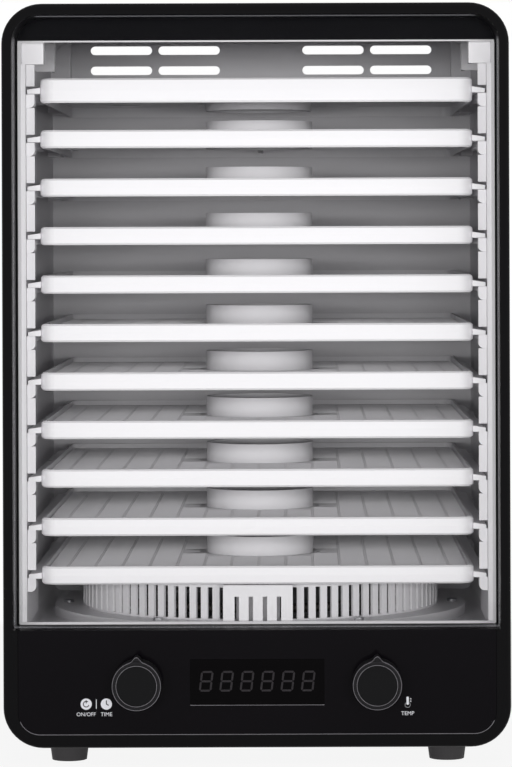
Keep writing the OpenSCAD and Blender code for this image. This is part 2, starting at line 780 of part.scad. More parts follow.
// Supply board on the pan's posts, with its transformer, relay and capacitors.
module power_board() color([0.15, 0.35, 0.2]) from_face() {
  translate([board_x, power_y, board_z]) cube([power_w, power_d, board_t]);
  for (b = power_blocks) translate([board_x + b[0], power_y + b[1], board_z + board_t - eps])
    cube([b[2], b[3], b[4]]);
  for (c = capacitor_places) translate([board_x + c[0], power_y + c[1], board_z + board_t - eps])
    cylinder(d = capacitor_dia, h = capacitor_h);
}

// Outline of the knob's pointer, a bump on the rim with hollow flanks that run out into it.
function pointer_edge(step) = [for (a = [-pointer_half:step:pointer_half])
  (knob_r - 0.1 + (pointer_h + 0.1)*exp(-pow(a/pointer_flare, 2)))*[sin(a), cos(a)]];

// Knob: a skirt, a raised cap in a shallow ring and a pointer that flares into the rim.
module knob() difference() {
  union() {
    rotate_extrude() difference() {
      union() {
        translate([0, knob_round]) square([knob_r, knob_h - knob_round]);
        square([knob_r - knob_round, knob_round + eps]);
        translate([knob_r - knob_round, knob_round]) circle(knob_round);
      }
      translate([-knob_r, 0]) square([knob_r, knob_h]);
      translate([cap_dia/2, -1]) square([cap_ring, 1 + cap_depth]);
      translate([hub_wall_r, knob_h/2 - 1]) square([knob_r - knob_wall - hub_wall_r, knob_h]);
    }
    translate([0, 0, knob_round]) linear_extrude(knob_h - knob_round - pointer_rear)
      polygon(concat(pointer_edge(1), [[0, hub_wall_r]]));
  }
  translate([0, 0, knob_h - knob_bore]) cylinder(d = shaft_dia + 2*shaft_fit, h = knob_bore + 1);
}

// Children drawn on a knob's axis, z = 0 at the knob's face and +z into the cabinet.
module on_knob_axis(side) from_face() translate([side*knob_x, knob_face_y, knob_z]) rotate([-90, 0, 0])
  mirror([0, 1, 0]) children();

module shaft() translate([0, 0, knob_h - knob_bore])
  cylinder(d = shaft_dia, h = shaft_end_y - knob_face_y - knob_h + knob_bore);

module encoder() from_face() difference() {
  union() {
    slab(encoder_y, board_y) square(encoder_w, center = true);
    bar_y(shaft_dia/2 + 1.6, panel_back_y + 1, encoder_y + eps);
  }
  bar_y(shaft_dia/2 + run_fit, panel_back_y, board_y - 1);
}

module time_knob() color([0.1, 0.1, 0.11]) on_knob_axis(-1) knob();
module time_shaft() color([0.7, 0.7, 0.7]) on_knob_axis(-1) shaft();
module time_encoder() color([0.3, 0.3, 0.32]) translate([-knob_x, 0, knob_z]) encoder();
module time_plunger() color([0.9, 0.9, 0.9]) on_knob_axis(-1)
  translate([0, 0, shaft_end_y - knob_face_y]) cylinder(d = shaft_dia, h = plunger_t);
module temp_knob() color([0.1, 0.1, 0.11]) on_knob_axis(1) knob();
module temp_shaft() color([0.7, 0.7, 0.7]) on_knob_axis(1) shaft();
module temp_encoder() color([0.3, 0.3, 0.32]) translate([knob_x, 0, knob_z]) encoder();

// --- feet, screws and gland ----------------------------------------------

// Foot at its place: side is -1 or 1, front is true or false.
module foot(side, front) color([0.2, 0.2, 0.2]) from_face()
  translate([side*foot_x, front ? foot_inset : body_d - foot_inset, 0]) difference() {
    cylinder(d1 = foot_bottom, d2 = foot_top, h = foot_h);
    translate([0, 0, -1]) cylinder(d = foot_screw_head + 1, h = foot_recess + 1);
    cylinder(d = foot_screw + 2*fit, h = foot_h + 1);
  }

module foot_front_left() foot(-1, true);
module foot_front_right() foot(1, true);
module foot_rear_left() foot(-1, false);
module foot_rear_right() foot(1, false);

module foot_screws() color([0.75, 0.75, 0.75]) from_face()
  for (s = [-1, 1], y = [foot_inset, body_d - foot_inset]) translate([s*foot_x, y, foot_recess]) {
    translate([0, 0, -foot_screw_head/3]) cylinder(d = foot_screw_head, h = foot_screw_head/3);
    translate([0, 0, -1]) cylinder(d = foot_screw, h = foot_h - foot_recess + bezel_screw_depth);
  }

// Pan-head screws round the fan cover's flange.
module cover_screws() color([0.6, 0.6, 0.6]) from_face() translate([0, chamber_mid_y, 0])
  for (a = flange_screw_angles) rotate(a) translate([flange_screw_r, 0, 0]) {
    translate([0, 0, flange_z]) cylinder(d = 2*small_screw, h = 2);
    translate([0, 0, floor_z - liner_wall - 2]) cylinder(d = small_screw, h = flange_h + liner_wall + 3);
  }

module rear_screws() color([0.6, 0.6, 0.6]) from_face() for (p = rear_screw_places) {
  slab(body_d, body_d + rear_head_h) translate(p) circle(d = 2*rear_screw);
  slab(liner_back_y + 1.5, body_d + 0.5) translate(p) circle(d = rear_screw);
}

// Rubber bush in the rear cover where the supply lead enters.
module cord_gland() color([0.12, 0.12, 0.12]) from_face() difference() {
  union() {
    slab(cover_y - 4, body_d + eps) translate([gland_x, gland_z]) circle(d = gland_dia - 2*fit);
    slab(body_d, body_d + gland_lip) translate([gland_x, gland_z]) circle(d = gland_dia + 6);
    slab(cover_y - 4, cover_y - fit) translate([gland_x, gland_z]) circle(d = gland_dia + 3);
  }
  slab(cover_y - 5, body_d + gland_lip + 1) translate([gland_x, gland_z]) circle(d = cord_bore);
}

// --- door ----------------------------------------------------------------

module door_pane() color([0.8, 0.85, 0.88, 0.3]) from_face() slab(door_front_y, door_back_y) difference() {
  outline(door_x, door_z, door_top, 0.5, opening_r - door_gap);
  for (s = [-1, 1]) translate([s*door_x - hinge_block_w, door_z - 1])
    square([2*hinge_block_w, hinge_top - door_z + 1 + fit]);
}

// Corner blocks that fill the pane's notches, each with a tongue behind the pane and a hinge pin.
module door_hinges() color([0.12, 0.12, 0.13]) from_face() for (s = [0, 1]) mirror([s, 0, 0]) {
  slab(door_front_y + hinge_inset, hinge_back_y) translate([door_x - hinge_block_w + fit, door_z])
    square([hinge_block_w - fit, hinge_top - door_z]);
  slab(door_back_y, hinge_back_y) translate([door_x - hinge_block_w - hinge_tongue, door_z])
    square([hinge_block_w + hinge_tongue, hinge_top - door_z + hinge_tongue/2]);
  translate([door_x - pin_dia/2, pin_y, pin_z]) rotate([0, 90, 0])
    cylinder(d = pin_dia, h = pin_dia/2 + door_gap + pin_reach);
}

// --- trays ---------------------------------------------------------------

// Section of a lip h tall: creased outside, with a ledge inside that carries the grid.
module lip_section(h) polygon([
  [-crease - 1, 0], [-crease/2, 1.2], [0, h/2], [-crease/2, h - 1.2], [-crease - 1, h],
  [-crease - lip_t, h], [-crease - lip_t, h/2 + grid_seat], [-grid_ledge, h/2 + grid_seat],
  [-grid_ledge, h/2 + grid_seat - 1.5], [-crease - lip_t, h/2 + grid_seat - 1.5], [-crease - lip_t, 0]
]);

// Tapered runner along both sides of a tray, its middle at z = 0.
module runners() for (s = [0, 1]) mirror([s, 0, 0]) slab(runner_front_y, runner_rear_y)
  polygon([[tray_x - crease, -runner_t/2], [runner_x, -runner_t/2], [runner_x, runner_t/2 - 1.3],
           [tray_x - crease, runner_t/2]]);

module lip(h) translate([0, tray_front_y + tray_d/2, -h/2]) swept(2*tray_x, tray_d, tray_r) lip_section(h);

module collar(z0, z1) translate([0, chamber_mid_y, z0]) difference() {
  cylinder(r = collar_r, h = z1 - z0);
  translate([0, 0, -1]) cylinder(r = collar_r - collar_wall, h = z1 - z0 + 2);
}

// Moulded drying tray: lip, runners, collar and four spokes that join them.
module tray(n) color([0.94, 0.94, 0.95]) from_face() translate([0, 0, tray_mid(n)]) {
  lip(lip_h);
  runners();
  collar(grid_seat - spoke_h, lip_h/2 + collar_rise);
  for (s = [0, 1]) mirror([s, 0, 0])
    translate([collar_r - collar_wall/2, chamber_mid_y - spoke_w/2, grid_seat - spoke_h])
      cube([tray_x - crease - lip_t/2 - collar_r + collar_wall/2, spoke_w, spoke_h]);
  for (y = [[tray_front_y + crease + lip_t/2, chamber_mid_y - collar_r + collar_wall/2],
            [chamber_mid_y + collar_r - collar_wall/2, tray_rear_y - crease - lip_t/2]])
    translate([-spoke_w/2, y[0], grid_seat - spoke_h]) cube([spoke_w, y[1] - y[0], spoke_h]);
}

// Top tray: a deeper lip round a closed plate, with a short collar under it.
module tray_01() color([0.94, 0.94, 0.95]) from_face() translate([0, 0, tray_mid(1)]) {
  lip(cover_lip_h);
  runners();
  collar(-cover_lip_h/2 - 0.8, grid_seat);
  translate([0, tray_front_y + tray_d/2, grid_seat - plate_t]) linear_extrude(plate_t)
    outline(plate_x, -plate_y, plate_y, plate_r, plate_r);
}

// True where the opening in a grid's column i and row j stays clear of the collar.
function clear_of_collar(i, j) = norm([
  max(i*grid_bar_pitch, -(i + 1)*grid_bar_pitch, 0),
  max(j*grid_cross_pitch - collar_dy, collar_dy - (j + 1)*grid_cross_pitch, 0)
]) > collar_r + grid_rim - grid_bar_w/2;

// Openings of a grid between its bars, one bar running down the middle.
module grid_openings() intersection() {
  outline(grid_x - grid_rim, grid_rim - grid_y, grid_y - grid_rim, grid_inner_r, grid_inner_r);
  union() for (i = [-grid_cols - 1:grid_cols], j = [-grid_rows - 1:grid_rows]) if (clear_of_collar(i, j))
    translate([i*grid_bar_pitch + grid_bar_w/2, j*grid_cross_pitch + grid_bar_w/2])
      square([grid_bar_pitch - grid_bar_w, grid_cross_pitch - grid_bar_w]);
}

// Drop-in grid of a drying tray, with one big hole for the collar.
module tray_grid(n) color([0.75, 0.75, 0.76]) from_face()
  translate([0, tray_front_y + tray_d/2, tray_mid(n) + grid_seat]) linear_extrude(grid_t) difference() {
    outline(grid_x, -grid_y, grid_y, grid_corner_r, grid_corner_r);
    translate([0, collar_dy]) circle(collar_r + grid_fit);
    grid_openings();
  }

module tray_02() tray(2);
module tray_03() tray(3);
module tray_04() tray(4);
module tray_05() tray(5);
module tray_06() tray(6);
module tray_07() tray(7);
module tray_08() tray(8);
module tray_09() tray(9);
module tray_10() tray(10);
module tray_11() tray(11);
module tray_grid_02() tray_grid(2);
module tray_grid_03() tray_grid(3);
module tray_grid_04() tray_grid(4);
module tray_grid_05() tray_grid(5);
module tray_grid_06() tray_grid(6);
module tray_grid_07() tray_grid(7);
module tray_grid_08() tray_grid(8);
module tray_grid_09() tray_grid(9);
module tray_grid_10() tray_grid(10);
module tray_grid_11() tray_grid(11);

outer_case();
front_bezel();
door_header();
rear_cover();
base_pan();
inner_liner();
rack_left();
rack_right();
rear_ledges();
top_guides();
fan_cover();
sensor_housing();
fan_rotor();
fan_motor();
motor_bracket();
heater_ring();
heater_frame();
control_panel();
display_window();
display_module();
control_board();
power_board();
time_knob();
time_shaft();
time_plunger();
time_encoder();
temp_knob();
temp_shaft();
temp_encoder();
foot_front_left();
foot_front_right();
foot_rear_left();
foot_rear_right();
foot_screws();
cover_screws();
rear_screws();
cord_gland();
door_pane();
door_hinges();
tray_01();
tray_02();
tray_03();
tray_04();
tray_05();
tray_06();
tray_07();
tray_08();
tray_09();
tray_10();
tray_11();
tray_grid_02();
tray_grid_03();
tray_grid_04();
tray_grid_05();
tray_grid_06();
tray_grid_07();
tray_grid_08();
tray_grid_09();
tray_grid_10();
tray_grid_11();
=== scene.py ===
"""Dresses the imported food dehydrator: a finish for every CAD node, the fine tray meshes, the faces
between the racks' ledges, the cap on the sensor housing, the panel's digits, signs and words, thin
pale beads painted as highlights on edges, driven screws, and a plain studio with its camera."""

import math

import bmesh
import bpy
from bpy.props import FloatProperty, FloatVectorProperty, IntProperty, PointerProperty
from mathutils import Matrix, Vector


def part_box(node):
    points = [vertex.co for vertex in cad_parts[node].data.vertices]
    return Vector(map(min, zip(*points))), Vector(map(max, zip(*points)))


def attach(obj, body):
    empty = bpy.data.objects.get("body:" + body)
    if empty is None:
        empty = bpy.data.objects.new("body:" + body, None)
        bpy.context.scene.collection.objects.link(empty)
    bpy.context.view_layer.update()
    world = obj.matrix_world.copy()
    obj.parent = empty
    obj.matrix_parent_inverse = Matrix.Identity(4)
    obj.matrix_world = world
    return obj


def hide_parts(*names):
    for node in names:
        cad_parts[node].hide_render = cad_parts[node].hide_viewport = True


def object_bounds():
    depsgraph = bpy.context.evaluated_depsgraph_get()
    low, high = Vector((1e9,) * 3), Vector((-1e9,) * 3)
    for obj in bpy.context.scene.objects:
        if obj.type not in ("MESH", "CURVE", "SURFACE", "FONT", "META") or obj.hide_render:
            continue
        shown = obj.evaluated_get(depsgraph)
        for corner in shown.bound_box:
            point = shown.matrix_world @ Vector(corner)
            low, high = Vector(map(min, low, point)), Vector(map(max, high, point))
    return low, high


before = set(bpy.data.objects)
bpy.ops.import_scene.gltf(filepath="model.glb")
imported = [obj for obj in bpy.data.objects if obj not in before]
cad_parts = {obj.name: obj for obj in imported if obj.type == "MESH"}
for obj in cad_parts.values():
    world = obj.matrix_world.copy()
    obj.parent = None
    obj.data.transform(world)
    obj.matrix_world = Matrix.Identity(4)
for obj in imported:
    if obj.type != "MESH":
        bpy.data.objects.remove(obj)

bl_info = {
    "name": "Food dehydrator dressing",
    "version": (1, 0, 0),
    "blender": (4, 5, 0),
    "location": "View3D > Sidebar > Dehydrator",
    "description": "Finishes and fine pieces for a cabinet food dehydrator",
    "category": "Object",
}

CAD_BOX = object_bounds()
MM = 0.001
TO_FRONT = (math.pi / 2, 0, 0)  # turns a primitive's top to the front
WELD = 0.002 * MM  # corners of a finished piece that are closer than this become one
NODE_WELD = 0.001 * MM  # the same, where a CAD node is split into its solids
CABINET = "cabinet"
RACKS = ("rack_left", "rack_right")
MESH_TRAYS = range(2, 12)


def middle(node):
    low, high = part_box(node)
    return (low + high) / 2


def extent(places):
    """The lowest and highest corners of the box round some places."""
    columns = list(zip(*places))
    return [Vector(map(pick, columns)) for pick in (min, max)]


def knob_centre(node, depth):
    """The middle of a knob's disc at a depth. Its pointer stands out over the disc."""
    low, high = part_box(node)
    return Vector(((low.x + high.x) / 2, depth, low.z + (high.x - low.x) / 2))


def tone(name, description, default):
    """A colour as it looks on a display."""
    return FloatVectorProperty(name=name, description=description, default=default,
                               subtype="COLOR_GAMMA", size=3, min=0.0, max=1.0)


def number(name, description, default, **more):
    return FloatProperty(name=name, description=description, default=default, **more)


def length(name, description, millimetres):
    return number(name, description, millimetres * MM, min=0.0, soft_max=0.5, unit="LENGTH",
                  precision=5)


def angle(name, description, degrees, **limits):
    return number(name, description, math.radians(degrees), subtype="ANGLE", **limits)


def watts(name, description, default):
    return number(name, description, default, min=0.0, unit="POWER")


# --- settings ---


class CabinetColours(bpy.types.PropertyGroup):
    case: tone("Case", "Moulded case and back", (0.13, 0.13, 0.135))
    bezel: tone("Bezel", "Front frame round the door and panel", (0.05, 0.048, 0.053))
    header: tone("Header", "Gloss strip above the door", (0.035, 0.033, 0.045))
    panel: tone("Panel", "Gloss control panel", (0.05, 0.042, 0.055))
    window: tone("Window", "Smoked window over the display", (0.02, 0.015, 0.02))
    knob: tone("Knob", "Turned face of the knobs", (0.07, 0.07, 0.075))
    knob_rim: tone("Knob rim", "Rim round the knobs' caps", (0.13, 0.127, 0.135))
    foot: tone("Foot", "Rubber feet", (0.25, 0.245, 0.25))
    sign: tone("Sign", "Printed signs and words", (0.9, 0.9, 0.92))
    digit: tone("Digit", "Unlit digits behind the window", (0.2, 0.19, 0.2))
    # painted highlight: the pale colour of the thin beads that stand for light caught on edges
    edge: tone("Edge", "Light caught by polished edges", (0.5, 0.49, 0.51))


class ChamberColours(bpy.types.PropertyGroup):
    liner: tone("Liner", "Chamber walls and floor", (0.9, 0.895, 0.905))
    face: tone("Face", "Strips between the ledges", (0.93, 0.925, 0.935))
    rack: tone("Rack", "Ledged side strips", (0.95, 0.945, 0.955))
    cover: tone("Cover", "Slotted drum over the fan", (0.92, 0.915, 0.925))
    housing: tone("Housing", "Front plate of the drum", (0.93, 0.925, 0.935))
    tray: tone("Tray", "Tray frames and collars", (0.96, 0.955, 0.965))
    mesh: tone("Mesh", "Fine tray meshes", (0.97, 0.965, 0.975))
    pane: tone("Pane", "Clear door", (0.5, 0.51, 0.53))


class TrayMeshSizes(bpy.types.PropertyGroup):
    rib_pitch: length("Rib pitch", "Spacing of the front-to-back ribs", 18.8)
    rib_width: length("Rib width", "Width of a rib", 1.4)
    slats: IntProperty(name="Slats", description="Cross slats from front to back",
                       default=80, min=20, max=120)
    slat_edge: length("Slat edge", "Half the width of a slat", 1.2)
    dot_edge: length("Dot edge", "How far a rib's small holes stay inside its cells", 0.3)
    dot_every: IntProperty(name="Dot every", description="Rows from one hole in a rib to the next",
                           default=5, min=1, max=20)
    slat_slope: length("Slat slope", "How far a slat's edges lie below its middle", 1.0)
    ring_width: length("Ring width", "Width of the ring round the collar", 4.0)
    collar_bore: length("Collar bore", "Diameter of the hole round the collar", 77.4)
    corner: length("Corner", "Radius of the mesh's corners", 6.5)


class RackFaceSizes(bpy.types.PropertyGroup):
    setback: length("Setback", "How far a strip lies behind its ledge's front", 1.0)
    thickness: length("Thickness", "Thickness of a strip", 2.0)
    notch: length("Notch", "Room for a runner above its ledge", 5.4)
    gap: length("Gap", "Gap under the next ledge", 0.1)


class SensorCapSizes(bpy.types.PropertyGroup):
    rise: length("Rise", "How far the cap stands above the housing", 6.0)
    depth: length("Depth", "Depth of the cap, which ends just before the drum", 15.7)
    edge: length("Edge", "Rounding of the cap's top edges", 0.8)


class DigitSizes(bpy.types.PropertyGroup):
    count: IntProperty(name="Count", description="Digits in the row", default=6, min=1, max=8)
    pitch: length("Pitch", "Spacing of the digits", 13.65)
    height: length("Height", "Height of a digit", 13.8)
    width: length("Width", "Width of a digit", 8.4)
    stroke: length("Stroke", "Width of a segment", 1.3)
    slant: angle("Slant", "Lean of the digits", 7, min=0.0, max=0.5)


class TrimSizes(bpy.types.PropertyGroup):
    # bead and proud size the thin pale strips painted as highlights on the knobs' and panel's edges
    bead: length("Bead", "Width of a polished edge", 0.35)
    proud: length("Proud", "How far a polished edge stands out", 0.12)
    cap: length("Cap", "Radius of the knobs' caps", 13.5)
    round: length("Round", "Rounding of the knobs' edges", 1.6)
    pointer: length("Pointer", "How far the knobs' pointers stand out", 3.0)
    flare: angle("Flare", "Spread of a pointer round the rim", 8.5, min=0.02)
    recess: length("Recess", "Depth of a screw's cross recess", 1.1)
    recess_width: length("Recess width", "Width of a cross recess's arms", 0.9)


class SignSizes(bpy.types.PropertyGroup):
    disc: length("Disc", "Diameter of the round signs", 7.5)
    line: length("Line", "Line width inside the signs", 0.65)
    letter: length("Letter", "Height of a capital letter", 2.5)
    relief: length("Relief", "Thickness of the printing", 0.06)


class StudioSettings(bpy.types.PropertyGroup):
    camera: FloatVectorProperty(name="Camera", description="Place of the camera",
                                default=(0.031, -2.469, 0.355), subtype="TRANSLATION",
                                unit="LENGTH")
    roll: angle("Roll", "Lean of the camera", 0.2)
    lens: number("Lens", "Focal length in millimetres", 161.4, min=20.0)
    shift_x: number("Shift across", "Sideways shift of the lens", -0.06)
    shift_y: number("Shift up", "Upward shift of the lens", -0.1936)
    fill: number("Fill", "Strength of the light from all round", 0.15, min=0.0)
    front: watts("Front lamp", "Power of the level lamp in front", 167.0)
    raised: watts("Raised lamp", "Power of the lamp above the front", 138.0)
    key: watts("Key lamp", "Power of the broad lamp high in front", 6.0)
    side: watts("Side lamp", "Power of the lamp to the right", 2.0)


class DehydratorSettings(bpy.types.PropertyGroup):
    cabinet: PointerProperty(type=CabinetColours)
    chamber: PointerProperty(type=ChamberColours)
    tray_mesh: PointerProperty(type=TrayMeshSizes)
    rack_face: PointerProperty(type=RackFaceSizes)
    sensor_cap: PointerProperty(type=SensorCapSizes)
    digits: PointerProperty(type=DigitSizes)
    signs: PointerProperty(type=SignSizes)
    trim: PointerProperty(type=TrimSizes)
    studio: PointerProperty(type=StudioSettings)


# --- shader maths ---


def linear(colour):
    """A display colour as the linear RGBA that a shader takes."""
    return tuple(c / 12.92 if c <= 0.04045 else ((c + 0.055) / 1.055) ** 2.4
                 for c in colour) + (1.0,)


def maths(operation, reflected=False):
    """A method of Wire that adds one Math node, with its inputs the other way round if asked."""
    def method(wire, other=0.0):
        first, second = (other, wire) if reflected else (wire, other)
        return wire.nodes.node("ShaderNodeMath", {"operation": operation}, {0: first, 1: second})
    return method


class Wire:
    """An output socket of a node tree, with Python's operators for its maths."""

    def __init__(self, nodes, socket):
        self.nodes = nodes
        self.socket = socket

    __add__, __radd__ = maths("ADD"), maths("ADD", True)
    __sub__, __rsub__ = maths("SUBTRACT"), maths("SUBTRACT", True)
    __mul__, __rmul__ = maths("MULTIPLY"), maths("MULTIPLY", True)
    __pow__, __rpow__ = maths("POWER"), maths("POWER", True)
    __or__, __ror__ = maths("MAXIMUM"), maths("MAXIMUM", True)
    __gt__, __lt__ = maths("GREATER_THAN"), maths("LESS_THAN")
    __abs__ = maths("ABSOLUTE")


class Nodes:
    """A node tree under construction."""

    def __init__(self, tree):
        self.tree = tree

    def fill(self, target, value):
        if isinstance(value, Wire):
            self.tree.links.new(value.socket, target)
        else:
            target.default_value = value

    def node(self, kind, settings=None, sockets=None, output=0):
        made = self.tree.nodes.new(kind)
        for key, value in (settings or {}).items():
            setattr(made, key, value)
        for key, value in (sockets or {}).items():
            self.fill(made.inputs[key], value)
        return Wire(self, made.outputs[output])

    def background(self):
        """1 for a ray that a camera, gloss or glass looks along, 0 for one that gathers light."""
        camera, gloss, glass = (self.node("ShaderNodeLightPath", output="Is %s Ray" % kind)
                                for kind in ("Camera", "Glossy", "Transmission"))
        return camera | gloss | glass


class Finish(Nodes):
    """A material under construction: a Principled shader and the nodes that feed it."""

    def __init__(self, name, colour, roughness, specular=0.5, metallic=0.0):
        self.material = bpy.data.materials.new(name)
        self.material.use_nodes = True
        super().__init__(self.material.node_tree)
        self.shader = self.tree.nodes["Principled BSDF"]
        self.colour = linear(colour)
        self.put("Base Color", self.colour)
        self.put("Roughness", roughness)
        self.put("Specular IOR Level", specular)
        self.put("Metallic", metallic)
        self.material.diffuse_color = self.colour

    def put(self, socket, value):
        self.fill(self.shader.inputs[socket], value)

    def place(self):
        """Where a point is on the part, in metres."""
        return self.node("ShaderNodeTexCoord", output="Object")

    def along(self, letter):
        return self.node("ShaderNodeSeparateXYZ", {}, {0: self.place()}, letter)

    def noise(self, scale, detail=3.0, roughness=0.5, stretch=(1, 1, 1)):
        where = self.node("ShaderNodeMapping", {}, {"Vector": self.place(), "Scale": stretch})
        return self.node("ShaderNodeTexNoise", {}, {
            "Vector": where, "Scale": scale, "Detail": detail, "Roughness": roughness})

    def blend(self, factor, first, second):
        """From one colour to another. A Mix node's sockets 6 and 7 and output 2 are its colours."""
        colours = {0: factor, 6: first, 7: second}
        return self.node("ShaderNodeMix", {"data_type": "RGBA"}, colours, 2)

    def bump(self, height, strength, distance):
        self.put("Normal", self.node("ShaderNodeBump", {}, {
            "Strength": strength, "Distance": distance, "Height": height}))

    def shade(self, factor, spread):
        """The colour, drifting darker and lighter by a share of itself."""
        dark = tuple(c * (1 - spread) for c in self.colour[:3]) + (1.0,)
        light = tuple(min(1.0, c * (1 + spread)) for c in self.colour[:3]) + (1.0,)
        return self.blend(factor, dark, light)

    def drift(self, scale, low, high):
        """A value that drifts from about low to high, by noise stretched from its middle."""
        spread, stretch = high - low, 1.6
        return self.noise(scale, 4.0, 0.6) * spread * stretch + (low - spread * (stretch - 1) / 2)

    def gloss(self, scale, low, high):
        """Roughness that drifts from low to high over the surface."""
        self.put("Roughness", self.drift(scale, low, high))

    def moulded(self, grain, depth, low, high, spread=0.05):
        """Moulded plastic: a fine grain, with gloss and shade that drift."""
        self.bump(self.noise(grain, 4.0, 0.6), depth, 0.2 * MM)
        self.gloss(11.0, low, high)
        self.put("Base Color", self.shade(self.noise(23.0, 4.0), spread))
        return self


# --- finishes ---


def smooth(name, colour, roughness, specular, gloss, shade, spread):
    """Smooth finish whose gloss and shade drift, each with its own noise."""
    made = Finish(name, colour, roughness, specular)
    made.gloss(*gloss)
    made.put("Base Color", made.shade(made.noise(*shade), spread))
    return made


def satin_case(colours):
    return Finish("case_black", colours.case, 0.5, 0.35).moulded(2400.0, 0.35, 0.42, 0.56)


def satin_bezel(colours):
    return Finish("bezel_black", colours.bezel, 0.34, 0.06).moulded(1800.0, 0.1, 0.28, 0.4)


def gloss_header(colours):
    return smooth("header_gloss", colours.header, 0.16, 0.05, (11.0, 0.12, 0.22), (7.0,), 0.08)


def gloss_panel(colours):
    """Gloss panel whose sill, at its top under the door, is dull."""
    made = Finish("panel_gloss", colours.panel, 0.07, 0.05)
    sill_depth, dull = 0.4 * MM, 0.5
    sill = made.along("Z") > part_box("control_panel")[1].z - sill_depth
    made.put("Roughness", made.drift(14.0, 0.05, 0.13) | sill * dull)
    made.put("Base Color", made.shade(made.noise(5.0), 0.06))
    return made


def smoked_window(colours):
    return smooth("window_smoke", colours.window, 0.05, 0.04, (17.0, 0.03, 0.08), (9.0,), 0.06)


def clear_pane(colours):
    """Clear sheet: nearly all see-through, with faint smears, and a painted highlight along its
    edge: a paler, denser rim.
    """
    made = Finish("door_clear", colours.pane, 0.03)
    low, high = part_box("door_pane")
    bead, rim_highlight_grey = 0.5 * MM, linear((0.5, 0.5, 0.52))
    clearest, smears, rim_highlight_alpha = 0.001, 0.006, 0.35
    across, up = made.along("X"), made.along("Z")
    # painted highlight: a band just inside the sides, top and bottom, paler and denser, stands for
    # light caught by the door's edge
    rim = (abs(across) > high.x - bead) | (up > high.z - bead) | (up < low.z + bead)
    made.put("Alpha", (made.noise(6.0, 5.0, 0.6) * smears + clearest) | rim * rim_highlight_alpha)
    made.gloss(6.0, 0.02, 0.06)
    made.put("Base Color", made.blend(rim, made.colour, rim_highlight_grey))
    return made


def turned_knob(colours, node, cap):
    """Satin knob with a slightly paler rim round its cap."""
    made = Finish("knob_black", colours.knob, 0.32, 0.08)
    centre = knob_centre(node, 0.0)
    across, up = made.along("X") - centre.x, made.along("Z") - centre.z
    rim = across * across + up * up > cap ** 2
    face = made.shade(made.noise(50.0), 0.08)
    made.bump(made.noise(1500.0), 0.05, 0.1 * MM)
    made.gloss(90.0, 0.26, 0.38)
    made.put("Base Color", made.blend(rim, face, linear(colours.knob_rim)))
    return made


def rubber_foot(colours):
    return Finish("foot_rubber", colours.foot, 0.7, 0.3).moulded(1600.0, 0.4, 0.62, 0.8, 0.1)


def printed_sign(colours):
    return smooth("sign_white", colours.sign, 0.45, 0.5, (400.0, 0.38, 0.52), (900.0, 2.0), 0.05)


def unlit_digit(colours):
    return smooth("digit_grey", colours.digit, 0.5, 0.05, (300.0, 0.4, 0.6), (160.0,), 0.15)


# painted highlight: a pale grey finish for the thin beads and strips that stand for light caught on
# the knobs' and panel's edges
def edge_highlight_finish(colours):
    return smooth("edge_light", colours.edge, 0.28, 0.5, (120.0, 0.2, 0.36), (60.0,), 0.15)


def white_plastic(name, colour):
    return Finish(name, colour, 0.36, 0.35).moulded(900.0, 0.08, 0.3, 0.44, 0.025)


def tray_plastic(colours):
    made = smooth("tray_white", colours.tray, 0.3, 0.4, (15.0, 0.25, 0.38), (12.0,), 0.015)
    made.bump(made.noise(60.0, 2.0), 0.12, 0.5 * MM)
    return made


def dark_plastic(name, colour):
    return Finish(name, colour, 0.4).moulded(1500.0, 0.2, 0.34, 0.5)


def steel(name, colour, low, high, stretch=(1, 1, 1), spread=0.08):
    made = Finish(name, colour, 0.35, metallic=1.0)
    made.bump(made.noise(420.0, 4.0, 0.6, stretch), 0.06, 0.1 * MM)
    made.gloss(60.0, low, high)
    made.put("Base Color", made.shade(made.noise(25.0), spread))
    return made


def circuit_board():
    return Finish("board_green", (0.1, 0.34, 0.2), 0.35).moulded(400.0, 0.1, 0.3, 0.45, 0.15)


def white_floor():
    """Pale floor that keeps the shadow close round the feet and goes to plain white further out."""
    made = smooth("floor_white", (0.97, 0.97, 0.97), 0.7, 0.1, (3.0, 0.65, 0.75), (4.0,), 0.01)
    shadow_reach, white_from, seen_white = 0.3, 0.75, 0.9
    x, y = made.along("X"), made.along("Y")
    far = made.node("ShaderNodeMapRange", {}, {
        "Value": (x * x + y * y) ** 0.5, "From Min": shadow_reach, "From Max": white_from})
    bare = made.node("ShaderNodeEmission", {}, {"Color": (1, 1, 1, 1), "Strength": 1.0})
    lit = Wire(made, made.shader.outputs[0])
    plain = far | made.background() * seen_white
    mixed = made.node("ShaderNodeMixShader", {}, {0: plain, 1: lit, 2: bare})
    made.tree.links.new(mixed.socket, made.tree.nodes["Material Output"].inputs["Surface"])
    return made


CASE_NODES = ("outer_case", "rear_cover")
RACK_NODES = RACKS + ("rear_ledges", "top_guides")
FOOT_NODES = ("foot_front_left", "foot_front_right", "foot_rear_left", "foot_rear_right")
BLACK_NODES = ("cord_gland", "time_encoder", "temp_encoder", "display_module")
STEEL_NODES = ("base_pan", "heater_frame", "motor_bracket")
SHAFT_NODES = ("time_shaft", "temp_shaft")
SCREWS = {  # the turn that points the head out, the head's height and the shank's radius
    "rear_screws": (-math.pi / 2, 2.0 * MM, 1.5 * MM),
    "cover_screws": (0.0, 2.0 * MM, 1.8 * MM),
    "foot_screws": (math.pi, 2.65 * MM, 2.0 * MM),
}


# --- modelling ---


def lone(name):
    """The object just added or joined, under its name."""
    piece = bpy.context.object
    piece.name = piece.data.name = name
    return piece


def select(*pieces):
    bpy.ops.object.select_all(action="DESELECT")
    for piece in pieces:
        piece.select_set(True)
    bpy.context.view_layer.objects.active = pieces[0]


def fresh():
    """Selects nothing, ready for a new primitive."""
    bpy.ops.object.select_all(action="DESELECT")


